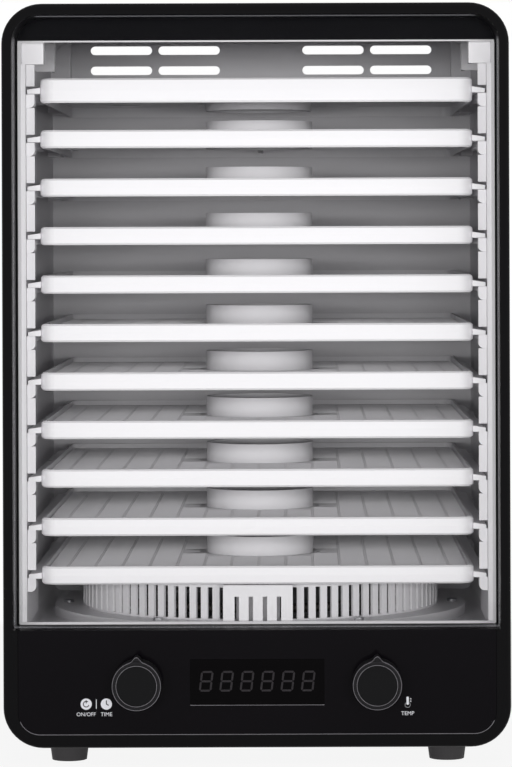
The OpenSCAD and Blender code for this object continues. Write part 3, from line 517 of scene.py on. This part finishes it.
def add_box(name, centre, size):
    fresh()
    bpy.ops.mesh.primitive_cube_add(size=1.0, location=centre, scale=size)
    return lone(name)


def add_rod(name, centre, radius, depth, vertices=48, rotation=(0, 0, 0)):
    fresh()
    bpy.ops.mesh.primitive_cylinder_add(vertices=vertices, radius=radius, depth=depth,
                                        location=centre, rotation=rotation)
    return lone(name)


class Editing:
    """Edit mode on one piece, opened with nothing selected."""

    def __init__(self, piece, mode="FACE"):
        self.piece = piece
        self.mode = mode

    def __enter__(self):
        select(self.piece)
        settle()
        bpy.ops.object.mode_set(mode="EDIT")
        bpy.ops.mesh.select_mode(type=self.mode)
        bpy.ops.mesh.select_all(action="DESELECT")
        return self

    def __exit__(self, kind, problem, trace):
        bpy.ops.object.mode_set(mode="OBJECT")

    def mesh(self):
        return bmesh.from_edit_mesh(self.piece.data)

    def pick(self, test):
        """Selects just the faces, edges or corners that pass a test."""
        bpy.ops.mesh.select_all(action="DESELECT")
        mesh = self.mesh()
        items = {"FACE": mesh.faces, "EDGE": mesh.edges, "VERT": mesh.verts}[self.mode]
        for item in [item for item in items if test(item)]:
            item.select_set(True)
        bmesh.update_edit_mesh(self.piece.data)

    def shift(self, where):
        """Moves every corner to where a function puts it."""
        for corner in self.mesh().verts:
            corner.co = where(corner.co)
        bmesh.update_edit_mesh(self.piece.data)


def shifted(piece, where):
    """A piece with every corner moved to where a function puts it."""
    with Editing(piece, "VERT") as editing:
        editing.shift(where)
    return piece


def rounded(piece, radius, segments, test):
    """A piece with the edges that pass a test rounded."""
    with Editing(piece, "EDGE") as editing:
        editing.pick(test)
        bpy.ops.mesh.bevel(offset=radius, segments=segments, affect="EDGES")
    return piece


def settle():
    """Puts the selected piece's place, turn and size into its mesh."""
    bpy.ops.object.transform_apply(location=True, rotation=True, scale=True)


def modify(piece, kind, **settings):
    select(piece)
    added = piece.modifiers.new(kind.title(), kind)
    for key, value in settings.items():
        setattr(added, key, value)
    bpy.ops.object.modifier_apply(modifier=added.name)


def carve(piece, tool, operation):
    """Cuts, adds or keeps where a tool is, and uses the tool up."""
    modify(piece, "BOOLEAN", object=tool, operation=operation, solver="EXACT")
    bpy.data.objects.remove(tool)


def joined(name, pieces):
    select(*pieces)
    if len(pieces) > 1:
        bpy.ops.object.join()
    return lone(name)


def copied(piece, name, offset=(0, 0, 0)):
    """A copy with its own mesh, moved in its mesh."""
    twin = piece.copy()
    twin.data = piece.data.copy()
    twin.name = twin.data.name = name
    twin.data.transform(Matrix.Translation(Vector(offset)))
    bpy.context.collection.objects.link(twin)
    return twin


def complete(piece, made, body, angle=30.0):
    """Settles a piece, gives it its finish and lets it ride on its body."""
    select(piece)
    settle()
    with Editing(piece) as editing:
        editing.pick(lambda face: True)
        bpy.ops.mesh.remove_doubles(threshold=WELD)
        bpy.ops.mesh.normals_make_consistent(inside=False)
    bpy.ops.object.shade_smooth_by_angle(angle=math.radians(angle))
    piece.data.materials.clear()
    piece.data.materials.append(made.material)
    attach(piece, body)
    return piece


def solids(node):
    """The lowest and highest corners of each separate solid in a CAD node."""
    mesh = bmesh.new()
    mesh.from_mesh(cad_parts[node].data)
    bmesh.ops.remove_doubles(mesh, verts=mesh.verts, dist=NODE_WELD)
    waiting, boxes = set(mesh.verts), []
    while waiting:
        solid, rim = [], [waiting.pop()]
        while rim:
            corner = rim.pop()
            solid.append(corner.co.copy())
            near = {edge.other_vert(corner) for edge in corner.link_edges} & waiting
            waiting -= near
            rim += near
        boxes.append(extent(solid))
    mesh.free()
    return boxes


# --- finishes on the CAD nodes ---


class DEHYDRATOR_OT_finishes(bpy.types.Operator):
    """Gives every CAD node the finish of its real material"""
    bl_idname = "dehydrator.finishes"
    bl_label = "Node finishes"

    def execute(self, context):
        settings = context.scene.dehydrator
        outside, inside, cap = settings.cabinet, settings.chamber, settings.trim.cap
        coats = [
            (satin_case(outside), CASE_NODES),
            (satin_bezel(outside), ("front_bezel",)),
            (gloss_header(outside), ("door_header",)),
            (gloss_panel(outside), ("control_panel",)),
            (smoked_window(outside), ("display_window",)),
            (clear_pane(inside), ("door_pane", "door_hinges")),
            (turned_knob(outside, "time_knob", cap), ("time_knob",)),
            (turned_knob(outside, "temp_knob", cap), ("temp_knob",)),
            (rubber_foot(outside), FOOT_NODES),
            (dark_plastic("black_plastic", (0.14, 0.14, 0.145)), BLACK_NODES),
            (white_plastic("liner_white", inside.liner), ("inner_liner",)),
            (white_plastic("rack_white", inside.rack), RACK_NODES),
            (white_plastic("cover_white", inside.cover), ("fan_cover",)),
            (white_plastic("housing_white", inside.housing), ("sensor_housing",)),
            (white_plastic("plunger_white", (0.88, 0.88, 0.88)), ("time_plunger",)),
            (dark_plastic("fan_grey", (0.55, 0.55, 0.56)), ("fan_rotor",)),
            (steel("motor_steel", (0.6, 0.6, 0.61), 0.35, 0.5), ("fan_motor",)),
            (steel("sheet_steel", (0.72, 0.72, 0.72), 0.3, 0.5, (1, 12, 1)), STEEL_NODES),
            (steel("heater_steel", (0.4, 0.38, 0.36), 0.4, 0.6, (1, 1, 1), 0.2), ("heater_ring",)),
            (steel("shaft_steel", (0.78, 0.78, 0.78), 0.2, 0.35, (1, 8, 1)), SHAFT_NODES),
            (circuit_board(), ("control_board", "power_board")),
            (tray_plastic(inside), ["tray_%02d" % n for n in range(1, 12)]),
            (white_plastic("grid_white", inside.mesh), ["tray_grid_%02d" % n for n in MESH_TRAYS]),
            (steel("screw_steel", (0.74, 0.74, 0.75), 0.25, 0.4), SCREWS),
        ]
        left = set(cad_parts)
        for made, nodes in coats:
            for node in nodes:
                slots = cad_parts[node].data.materials
                slots.clear()
                slots.append(made.material)
                left.remove(node)
        if left:
            raise RuntimeError("no finish for " + ", ".join(sorted(left)))
        return {"FINISHED"}


# --- tray meshes ---


def weave(sizes, low, high):
    """A flat sheet with narrow slots between its slats and a row of small holes in each rib."""
    centre, size = (low + high) / 2, high - low
    half, half_rib = size.x / 2, sizes.rib_width / 2
    count = int((half - sizes.rib_width) / sizes.rib_pitch)
    ribs = [n * sizes.rib_pitch for n in range(-count, count + 1)]
    # the lengthwise lines: the two edges, and both sides of each rib
    places = [-half] + [rib + side * half_rib for rib in ribs for side in (-1, 1)] + [half]
    columns, rows = len(places) - 1, sizes.slats
    row = size.y / rows
    whole_front, whole_back = 2, 3  # rows that stay uncut at the sheet's ends
    fresh()
    bpy.ops.mesh.primitive_grid_add(x_subdivisions=columns, y_subdivisions=rows, size=1.0,
                                    location=(centre.x, centre.y, high.z))
    piece = lone("tray_mesh_02")
    piece.scale = (size.x, size.y, 1)

    def line_up(corner):
        index = round((corner.x - low.x) / size.x * columns)
        return Vector((centre.x + places[index], corner.y, corner.z))

    def row_of(face):
        return int((face.calc_center_median().y - low.y) / row)

    def on_rib(face):
        across = face.calc_center_median().x - centre.x
        return any(abs(across - rib) < half_rib for rib in ribs)

    def inside(face):
        return whole_front <= row_of(face) < rows - whole_back

    def dotted(face):
        return on_rib(face) and row_of(face) % sizes.dot_every == 0

    def slotted(face):
        return not on_rib(face)

    with Editing(piece) as editing:
        editing.shift(line_up)
        for edge, wanted in ((sizes.dot_edge, dotted), (sizes.slat_edge, slotted)):
            editing.pick(lambda face: inside(face) and wanted(face))
            bpy.ops.mesh.inset(thickness=edge, use_individual=True)
            bpy.ops.mesh.delete(type="FACE")
        editing.pick(lambda face: inside(face) and on_rib(face) and not dotted(face))
        bpy.ops.mesh.poke()
    modify(piece, "SOLIDIFY", thickness=size.z, offset=-1.0)
    return piece


def rounded_plate(name, low, high, radius, bore_at, bore):
    """A plate with rounded upright corners and a round hole."""
    size = high - low
    plate = rounded(add_box(name, (low + high) / 2, size), radius, 6,
                    lambda edge: abs(edge.verts[0].co.z - edge.verts[1].co.z) > size.z / 2)
    carve(plate, add_rod("bore", bore_at, bore / 2, size.z * 3, vertices=96), "DIFFERENCE")
    return plate


class DEHYDRATOR_OT_tray_meshes(bpy.types.Operator):
    """Weaves the fine drop-in mesh of one tray, and copies it to the trays below"""
    bl_idname = "dehydrator.tray_meshes"
    bl_label = "Tray meshes"

    def execute(self, context):
        settings = context.scene.dehydrator
        sizes = settings.tray_mesh
        low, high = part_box("tray_grid_02")
        collar = middle("fan_cover")
        at = Vector((collar.x, collar.y, (low.z + high.z) / 2))
        mesh = weave(sizes, low, high)
        ring_radius, thickness = sizes.collar_bore / 2 + sizes.ring_width, high.z - low.z
        carve(mesh, add_rod("ring", at, ring_radius, thickness, vertices=96), "UNION")
        slack = Vector((0, 0, 0.5 * MM))
        plate = rounded_plate("blank", low - slack, high + slack, sizes.corner,
                              at, sizes.collar_bore)
        carve(mesh, plate, "INTERSECT")
        row = (high.y - low.y) / sizes.slats

        def ridged(corner):
            """Slopes a slat's top down from its middle to its edges."""
            reach = Vector((corner.x - at.x, corner.y - at.y, 0)).length
            if corner.z < high.z - slack.z or reach < ring_radius + slack.z:
                return corner
            steps = (corner.y - low.y) / row
            off = abs(steps - round(steps)) * row
            return corner - Vector((0, 0, sizes.slat_slope * min(1, off / sizes.slat_edge)))

        shifted(mesh, ridged)
        made = white_plastic("mesh_white", settings.chamber.mesh)
        grids = {n: "tray_grid_%02d" % n for n in MESH_TRAYS}
        drops = {n: (0, 0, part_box(grid)[0].z - low.z) for n, grid in grids.items()}
        twins = [mesh] + [copied(mesh, "tray_mesh_%02d" % n, drops[n]) for n in MESH_TRAYS[1:]]
        for n, piece in zip(MESH_TRAYS, twins):
            complete(piece, made, "tray_%02d_body" % n)
            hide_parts(grids[n])
        return {"FINISHED"}


# --- rack faces and sensor cap ---


def ledge_blocks(node):
    """Boxes of a rack's front ledge blocks, from the lowest up. Its tallest solid is the panel."""
    ledges = sorted(solids(node), key=lambda box: box[1].z - box[0].z)[:-1]
    front, slack = min(box[0].y for box in ledges), 1 * MM
    return sorted((box for box in ledges if box[0].y < front + slack), key=lambda box: box[0].z)


class DEHYDRATOR_OT_rack_faces(bpy.types.Operator):
    """Closes the racks' fronts between the ledges, open only where a tray's runner slides in"""
    bl_idname = "dehydrator.rack_faces"
    bl_label = "Rack faces"

    def execute(self, context):
        settings = context.scene.dehydrator
        sizes, made = settings.rack_face, white_plastic("rack_face_white", settings.chamber.face)
        for node in RACKS:
            blocks, top = ledge_blocks(node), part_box(node)[1].z
            strips = []
            for block, above in zip(blocks, [box[0].z for box in blocks[1:]] + [top]):
                low = Vector((block[0].x, block[0].y + sizes.setback, block[1].z + sizes.notch))
                high = Vector((block[1].x, low.y + sizes.thickness, above - sizes.gap))
                strips.append(add_box("strip", (low + high) / 2, high - low))
            face = joined(node.replace("rack", "rack_face"), strips)
            complete(face, made, CABINET)
        return {"FINISHED"}


class DEHYDRATOR_OT_sensor_cap(bpy.types.Operator):
    """Carries the sensor housing up to the height of the drum's top"""
    bl_idname = "dehydrator.sensor_cap"
    bl_label = "Sensor cap"

    def execute(self, context):
        settings = context.scene.dehydrator
        sizes, (low, high) = settings.sensor_cap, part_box("sensor_housing")
        size = Vector((high.x - low.x, sizes.depth, sizes.rise))
        cap = add_box("sensor_cap", Vector((low.x, low.y, high.z)) + size / 2, size)
        half_way = high.z + size.z / 2
        rounded(cap, sizes.edge, 3,
                lambda edge: all(corner.co.z > half_way for corner in edge.verts))
        made = white_plastic("sensor_cap_white", settings.chamber.housing)
        complete(cap, made, CABINET)
        return {"FINISHED"}


# --- knobs and painted edge highlights ---


def knob_bead(name, node, radius, back, trim, pointer=0.0):
    """Thin pale bead round a knob's face, a painted highlight on its edge, out over its pointer when
    it has one.
    """
    centre = knob_centre(node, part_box(node)[0].y + back)
    fresh()
    bpy.ops.mesh.primitive_torus_add(major_segments=180, minor_segments=8, major_radius=radius,
                                     minor_radius=trim.bead / 2, location=centre, rotation=TO_FRONT)
    piece = lone(name)
    pointer_back = trim.round * 0.68 * (pointer > 0)

    def flare(corner):
        """Leads the bead out and back round the pointer, full depth for most of its width."""
        arm = corner - centre
        lean = math.atan2(arm.x, arm.z)
        bump = math.exp(-(lean / trim.flare) ** 2)
        out = Vector((arm.x, 0, arm.z)).normalized() * pointer * bump
        return corner + out + Vector((0, min(1.0, 2 * bump) * pointer_back, 0))

    return shifted(piece, flare)


class DEHYDRATOR_OT_knob_edges(bpy.types.Operator):
    """Lays the pale beads round the knobs' rims and caps, painted highlights of their edges"""
    bl_idname = "dehydrator.knob_edges"
    bl_label = "Knob edges"

    def execute(self, context):
        settings = context.scene.dehydrator
        trim, made = settings.trim, edge_highlight_finish(settings.cabinet)
        for knob in ("time", "temp"):
            low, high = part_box(knob + "_knob")
            corner = trim.round * (1 - math.sqrt(0.5))
            rim = knob_bead(knob + "_rim_bead", knob + "_knob", (high.x - low.x) / 2 - corner,
                            corner, trim, trim.pointer)
            cap = knob_bead(knob + "_cap_bead", knob + "_knob", trim.cap, trim.proud, trim)
            for piece in (rim, cap):
                complete(piece, made, knob + "_dial", 60.0)
        return {"FINISHED"}


def frame_strip(name, low, high, depth, width, proud, radii):
    """Thin flat strip round a rectangle in front view, with its own bottom and top corner radii."""
    centre, size = (low + high) / 2, high - low
    fresh()
    bpy.ops.mesh.primitive_plane_add(size=1.0, location=(centre.x, depth, centre.z),
                                     rotation=TO_FRONT)
    piece = lone(name)
    piece.scale = (size.x, size.z, 1)
    with Editing(piece, "VERT") as editing:
        for top, radius in enumerate(radii):
            if radius > 0:
                editing.pick(lambda corner: (corner.co.z > centre.z) == bool(top))
                bpy.ops.mesh.bevel(offset=radius, segments=10, affect="VERTICES")
    with Editing(piece) as editing:
        editing.pick(lambda face: True)
        bpy.ops.mesh.inset(thickness=width)
        bpy.ops.mesh.delete(type="FACE")
    modify(piece, "SOLIDIFY", thickness=proud, offset=1.0)
    return piece


def keep_below(piece, height):
    """Cuts a piece level and keeps what is under the cut."""
    with Editing(piece) as editing:
        editing.pick(lambda face: True)
        bpy.ops.mesh.bisect(plane_co=(0, 0, height), plane_no=(0, 0, 1),
                            clear_outer=True, use_fill=True)


def window_face():
    """Lowest and highest corners of the window's front face, inside its hidden lip."""
    front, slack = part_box("display_window")[0].y, 0.1 * MM
    return extent(corner.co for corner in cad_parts["display_window"].data.vertices
                  if corner.co.y < front + slack)


class DEHYDRATOR_OT_panel_edges(bpy.types.Operator):
    """Lays thin pale strips along the bottom of the panel and its window, painted highlights of
    their edges
    """
    bl_idname = "dehydrator.panel_edges"
    bl_label = "Panel edges"

    def execute(self, context):
        settings = context.scene.dehydrator
        trim, made = settings.trim, edge_highlight_finish(settings.cabinet)
        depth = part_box("control_panel")[0].y
        edges = (  # the rectangle, the width, the bottom corners' radius and the height kept
            ("panel_edge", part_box("control_panel"), trim.bead, 14.7 * MM, 9 * MM),
            ("window_edge", window_face(), trim.bead * 0.8, 0, 0.5 * MM),
        )
        for name, (low, high), width, radius, kept in edges:
            piece = frame_strip(name, low, high, depth, width, trim.proud, (radius, 0))
            keep_below(piece, low.z + kept)
            complete(piece, made, CABINET)
        return {"FINISHED"}


# --- display and signs ---


def segment(name, centre, span, stroke, relief, upright):
    """One bar of a digit, a flat hexagon with pointed ends."""
    piece = add_rod(name, centre, span / 2, relief, 6, (math.pi / 2, math.pi / 6, 0))
    half = span / 2

    def stretch(corner):
        across, up = corner.x - centre[0], corner.z - centre[2]
        end = abs(across) > half * 0.75
        x = across if end else math.copysign(half - stroke / 2, across)
        z = 0.0 if end else math.copysign(stroke / 2, up)
        if upright:
            x, z = z, x
        return Vector((centre[0] + x, corner.y, centre[2] + z))

    return shifted(piece, stretch)


def digit(sizes, centre, relief):
    """All seven bars of one unlit digit, leaning to the right."""
    gap = sizes.stroke * 0.15
    wide, tall = sizes.width - sizes.stroke, (sizes.height - sizes.stroke) / 2
    bars = [(0, step * tall, wide - 2 * gap, False) for step in (-1, 0, 1)]
    bars += [(side * wide / 2, step * tall / 2, tall - 2 * gap, True)
             for side in (-1, 1) for step in (-1, 1)]
    piece = joined("digit_1", [
        segment("bar", (centre.x + x, centre.y, centre.z + z), span, sizes.stroke, relief, upright)
        for x, z, span, upright in bars])
    lean = math.tan(sizes.slant)
    return shifted(piece, lambda corner: corner + Vector(((corner.z - centre.z) * lean, 0, 0)))


class DEHYDRATOR_OT_digits(bpy.types.Operator):
    """Sets the row of unlit seven-bar digits in the window"""
    bl_idname = "dehydrator.digits"
    bl_label = "Display digits"

    def execute(self, context):
        settings = context.scene.dehydrator
        sizes, relief = settings.digits, settings.signs.relief
        low, high = window_face()
        lift = 0.8 * MM  # of the row over the window's middle
        first = Vector(((low.x + high.x) / 2 - (sizes.count - 1) / 2 * sizes.pitch,
                        low.y - relief / 2, (low.z + high.z) / 2 + lift))
        made = unlit_digit(settings.cabinet)
        one = digit(sizes, first, relief)
        row = [one] + [copied(one, "digit_%d" % (n + 1), (n * sizes.pitch, 0, 0))
                       for n in range(1, sizes.count)]
        for piece in row:
            complete(piece, made, CABINET)
        return {"FINISHED"}


def sign_disc(name, at, sizes):
    """Round printed sign, slightly domed at its edge."""
    disc = add_rod(name, at, sizes.disc / 2, sizes.relief, rotation=TO_FRONT)
    return rounded(disc, sizes.relief * 0.4, 2,
                   lambda edge: all(corner.co.y < at.y for corner in edge.verts))


def sign_bar(name, at, along, across, sizes, lean=0.0):
    """Small straight mark with softened ends, leaning clockwise by an angle."""
    bar = rounded(add_box(name, at, (across, sizes.relief, along)), across * 0.3, 3,
                  lambda edge: abs(edge.verts[0].co.y - edge.verts[1].co.y) > sizes.relief / 2)
    if lean:
        with Editing(bar) as editing:
            editing.pick(lambda face: True)
            bpy.ops.transform.rotate(value=-lean, orient_axis="Y", center_override=at)
    return bar


def sign_arc(name, at, radius, sizes, turn, start):
    """Open ring, a small square spun part of the way round."""
    first = at + Vector((math.sin(start), 0, math.cos(start))) * radius
    ring = add_box(name, first, (sizes.line, sizes.relief, sizes.line * 0.2))
    with Editing(ring) as editing:
        editing.pick(lambda face: True)
        bpy.ops.transform.rotate(value=start, orient_axis="Y", center_override=first)
        out = Vector((math.cos(start), 0, -math.sin(start)))
        editing.pick(lambda face: face.normal.dot(out) > 0.9)
        bpy.ops.mesh.spin(steps=40, angle=turn, center=at, axis=(0, 1, 0))
    return ring


def word(name, text, at, height, relief):
    """A short printed word, centred, its capitals as tall as asked."""
    fresh()
    bpy.ops.object.text_add(location=at, rotation=TO_FRONT)
    piece = lone(name)
    piece.data.body = text
    piece.data.extrude = relief / 2
    bpy.ops.object.convert(target="MESH")
    piece = lone(name)
    settle()
    low, high = extent(corner.co for corner in piece.data.vertices)
    centre, size = (low + high) / 2, height / (high.z - low.z)
    return shifted(piece, lambda corner: Vector((
        at.x + (corner.x - centre.x) * size, corner.y, at.z + (corner.z - centre.z) * size)))


class DEHYDRATOR_OT_signs(bpy.types.Operator):
    """Prints the round signs, the thermometer and the words beside the knobs"""
    bl_idname = "dehydrator.signs"
    bl_label = "Signs and words"

    def execute(self, context):
        settings = context.scene.dehydrator
        sizes = settings.signs
        white = printed_sign(settings.cabinet)
        dark = dark_plastic("sign_ink", settings.cabinet.panel)
        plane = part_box("control_panel")[0].y - sizes.relief / 2

        def beside(at, across, up, out=0.0):
            """A place so many millimetres from another, and so far out from the panel."""
            return at + Vector((across * MM, -out, up * MM))

        power, clock = (beside(knob_centre("time_knob", plane), across, -14.2)
                        for across in (-34.5, -21))
        stem = beside(knob_centre("temp_knob", plane), 20.6, 0)
        stem.z = power.z + 1.6 * MM
        word_drop, relief = -6.8, sizes.relief
        pale = [
            sign_disc("power_disc", power, sizes),
            sign_disc("clock_disc", clock, sizes),
            sign_bar("sign_divider", (power + clock) / 2, 6.4 * MM, sizes.line * 0.7, sizes),
            sign_bar("thermometer_stem", stem, 5.4 * MM, 1.6 * MM, sizes),
            sign_arc("thermometer_bulb", beside(stem, 0, -2.85), 1.7 * MM, sizes,
                     math.radians(359.9), 0.0),
            word("word_on_off", "ON/OFF", beside(power, 0, word_drop), sizes.letter, relief),
            word("word_time", "TIME", beside(clock, 0, word_drop), sizes.letter, relief),
            word("word_temp", "TEMP", beside(Vector((stem.x, plane, power.z)), 0, word_drop),
                 sizes.letter, relief),
        ]
        pale += [sign_bar("thermometer_tick_%d" % n, beside(stem, 2, 1.4 - n),
                          0.35 * MM, 1.2 * MM, sizes) for n in range(3)]
        inked = [
            sign_arc("power_ring", beside(power, 0, 0, relief), 1.9 * MM, sizes,
                     0.8 * math.tau, 0.1 * math.tau),
            sign_bar("power_bar", beside(power, 0, 1.6, relief), 2.2 * MM, sizes.line, sizes),
            sign_bar("clock_hand_long", beside(clock, 0, 1.2, relief), 2.6 * MM, sizes.line, sizes),
            sign_bar("clock_hand_short", beside(clock, 0.75, -0.4, relief), 1.9 * MM,
                     sizes.line, sizes, math.radians(118)),
        ]
        for made, pieces in ((white, pale), (dark, inked)):
            for piece in pieces:
                complete(piece, made, CABINET)
        return {"FINISHED"}


# --- screws ---


def driven_screw(name, radius, head, shank, long, trim):
    """Domed screw with a cross recess, its top at the origin and its shank downwards."""
    piece = add_rod(name, (0, 0, -head / 2), radius, head, vertices=32)
    rounded(piece, head * 0.4, 4,
            lambda edge: all(corner.co.z > -head * 0.1 for corner in edge.verts))
    for turn in (0, math.pi / 2):
        arm = add_box("arm", (0, 0, 0), (radius * 1.1, trim.recess_width, trim.recess * 2))
        arm.rotation_euler.z = turn
        carve(piece, arm, "DIFFERENCE")
    stem = add_rod("shank", (0, 0, -(long + head) / 2), shank, long - head, vertices=24)
    carve(piece, stem, "UNION")
    return piece


class DEHYDRATOR_OT_screws(bpy.types.Operator):
    """Puts domed cross-recess screws in place of the plain ones"""
    bl_idname = "dehydrator.screws"
    bl_label = "Screws"

    def execute(self, context):
        trim = context.scene.dehydrator.trim
        made = steel("screw_plate", (0.78, 0.78, 0.79), 0.22, 0.38)
        for node, (turn, head, shank) in SCREWS.items():
            way = Matrix.Rotation(turn, 4, "X")
            out = way @ Vector((0, 0, 1))
            copies, whole = [], None
            for number, (low, high) in enumerate(solids(node)):
                centre, size = (low + high) / 2, high - low
                long = abs(size.dot(out))
                if whole is None:
                    whole = driven_screw(node + "_driven", size.x / 2, head, shank, long, trim)
                one = copied(whole, "%s_%d" % (node, number + 1))
                one.data.transform(Matrix.Translation(centre + out * long / 2) @ way)
                copies.append(one)
            bpy.data.objects.remove(whole)
            piece = joined(node + "_driven", copies)
            complete(piece, made, CABINET)
            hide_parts(node)
        return {"FINISHED"}


# --- studio ---


LAMPS = (  # the setting with its power, its place, width and height, and whether gloss shows it
    ("front", (0.0, -7.0, 0.38), 6.0, 0.55, False),
    ("raised", (0.0, -7.0, 1.0), 6.0, 0.4, False),
    ("key", (0.1, -1.6, 2.2), 1.8, 1.4, True),
    ("side", (1.6, -1.2, 0.7), 0.8, 1.4, True),
)


def lamp(name, at, aim, width, height, power):
    """A soft rectangular lamp that looks at a point."""
    fresh()
    bpy.ops.object.light_add(type="AREA", location=at)
    light = lone(name)
    light.data.shape = "RECTANGLE"
    light.data.size, light.data.size_y = width, height
    light.data.energy = power
    light.rotation_euler = (Vector(aim) - Vector(at)).to_track_quat("-Z", "Y").to_euler()
    return light


def white_world(fill):
    """Even light from all round, which looks plain white to the camera and in gloss and glass."""
    world = bpy.data.worlds.new("studio")
    world.use_nodes = True
    nodes = Nodes(world.node_tree)
    sky = world.node_tree.nodes["Background"]
    sky.inputs["Color"].default_value = (1, 1, 1, 1)
    nodes.fill(sky.inputs["Strength"], nodes.background() * (1.0 - fill) + fill)
    bpy.context.scene.world = world


class DEHYDRATOR_OT_studio(bpy.types.Operator):
    """Sets the floor, the lamps, the white surroundings and the camera"""
    bl_idname = "dehydrator.studio"
    bl_label = "Studio"

    def execute(self, context):
        studio = context.scene.dehydrator.studio
        fresh()
        bpy.ops.mesh.primitive_plane_add(size=6.0)
        floor = lone("floor")
        with Editing(floor) as editing:
            editing.pick(lambda face: True)
            bpy.ops.mesh.subdivide(number_cuts=3)
        floor.data.materials.append(white_floor().material)
        aim = (CAD_BOX[0] + CAD_BOX[1]) / 2
        for name, at, width, height, glossy in LAMPS:
            light = lamp(name + "_lamp", at, aim, width, height, getattr(studio, name))
            light.visible_glossy = glossy
        white_world(studio.fill)
        fresh()
        bpy.ops.object.camera_add(location=studio.camera, rotation=(math.pi / 2, studio.roll, 0))
        camera = lone("camera")
        camera.data.lens = studio.lens
        camera.data.sensor_width = 36.0
        camera.data.shift_x, camera.data.shift_y = studio.shift_x, studio.shift_y
        context.scene.camera = camera
        context.scene.view_settings.view_transform = "Standard"
        return {"FINISHED"}


# --- add-on ---


class DEHYDRATOR_PT_dressing(bpy.types.Panel):
    bl_idname = "DEHYDRATOR_PT_dressing"
    bl_label = "Food dehydrator"
    bl_space_type = "VIEW_3D"
    bl_region_type = "UI"
    bl_category = "Dehydrator"

    def draw(self, context):
        settings = context.scene.dehydrator
        for group in GROUPS:
            box = self.layout.box()
            box.label(text=group.replace("_", " ").capitalize())
            values = getattr(settings, group)
            for name in values.__annotations__:
                box.prop(values, name)
        for operator in OPERATORS:
            self.layout.operator(operator.bl_idname)


GROUPS = ("cabinet", "chamber", "tray_mesh", "rack_face", "sensor_cap", "trim", "digits", "signs",
          "studio")
OPERATORS = (
    DEHYDRATOR_OT_finishes, DEHYDRATOR_OT_tray_meshes, DEHYDRATOR_OT_rack_faces,
    DEHYDRATOR_OT_sensor_cap, DEHYDRATOR_OT_knob_edges, DEHYDRATOR_OT_panel_edges,
    DEHYDRATOR_OT_digits, DEHYDRATOR_OT_signs, DEHYDRATOR_OT_screws, DEHYDRATOR_OT_studio,
)
CLASSES = (
    CabinetColours, ChamberColours, TrayMeshSizes, RackFaceSizes, SensorCapSizes, DigitSizes,
    TrimSizes, SignSizes, StudioSettings, DehydratorSettings,
) + OPERATORS + (DEHYDRATOR_PT_dressing,)


def register():
    for cls in CLASSES:
        bpy.utils.register_class(cls)
    bpy.types.Scene.dehydrator = PointerProperty(type=DehydratorSettings)


def unregister():
    del bpy.types.Scene.dehydrator
    for cls in reversed(CLASSES):
        bpy.utils.unregister_class(cls)


def main():
    register()
    jobs = bpy.ops.dehydrator
    for job in (jobs.finishes, jobs.tray_meshes, jobs.rack_faces, jobs.sensor_cap, jobs.knob_edges,
                jobs.panel_edges, jobs.digits, jobs.signs, jobs.screws, jobs.studio):
        job()


if __name__ == "__main__":
    main()
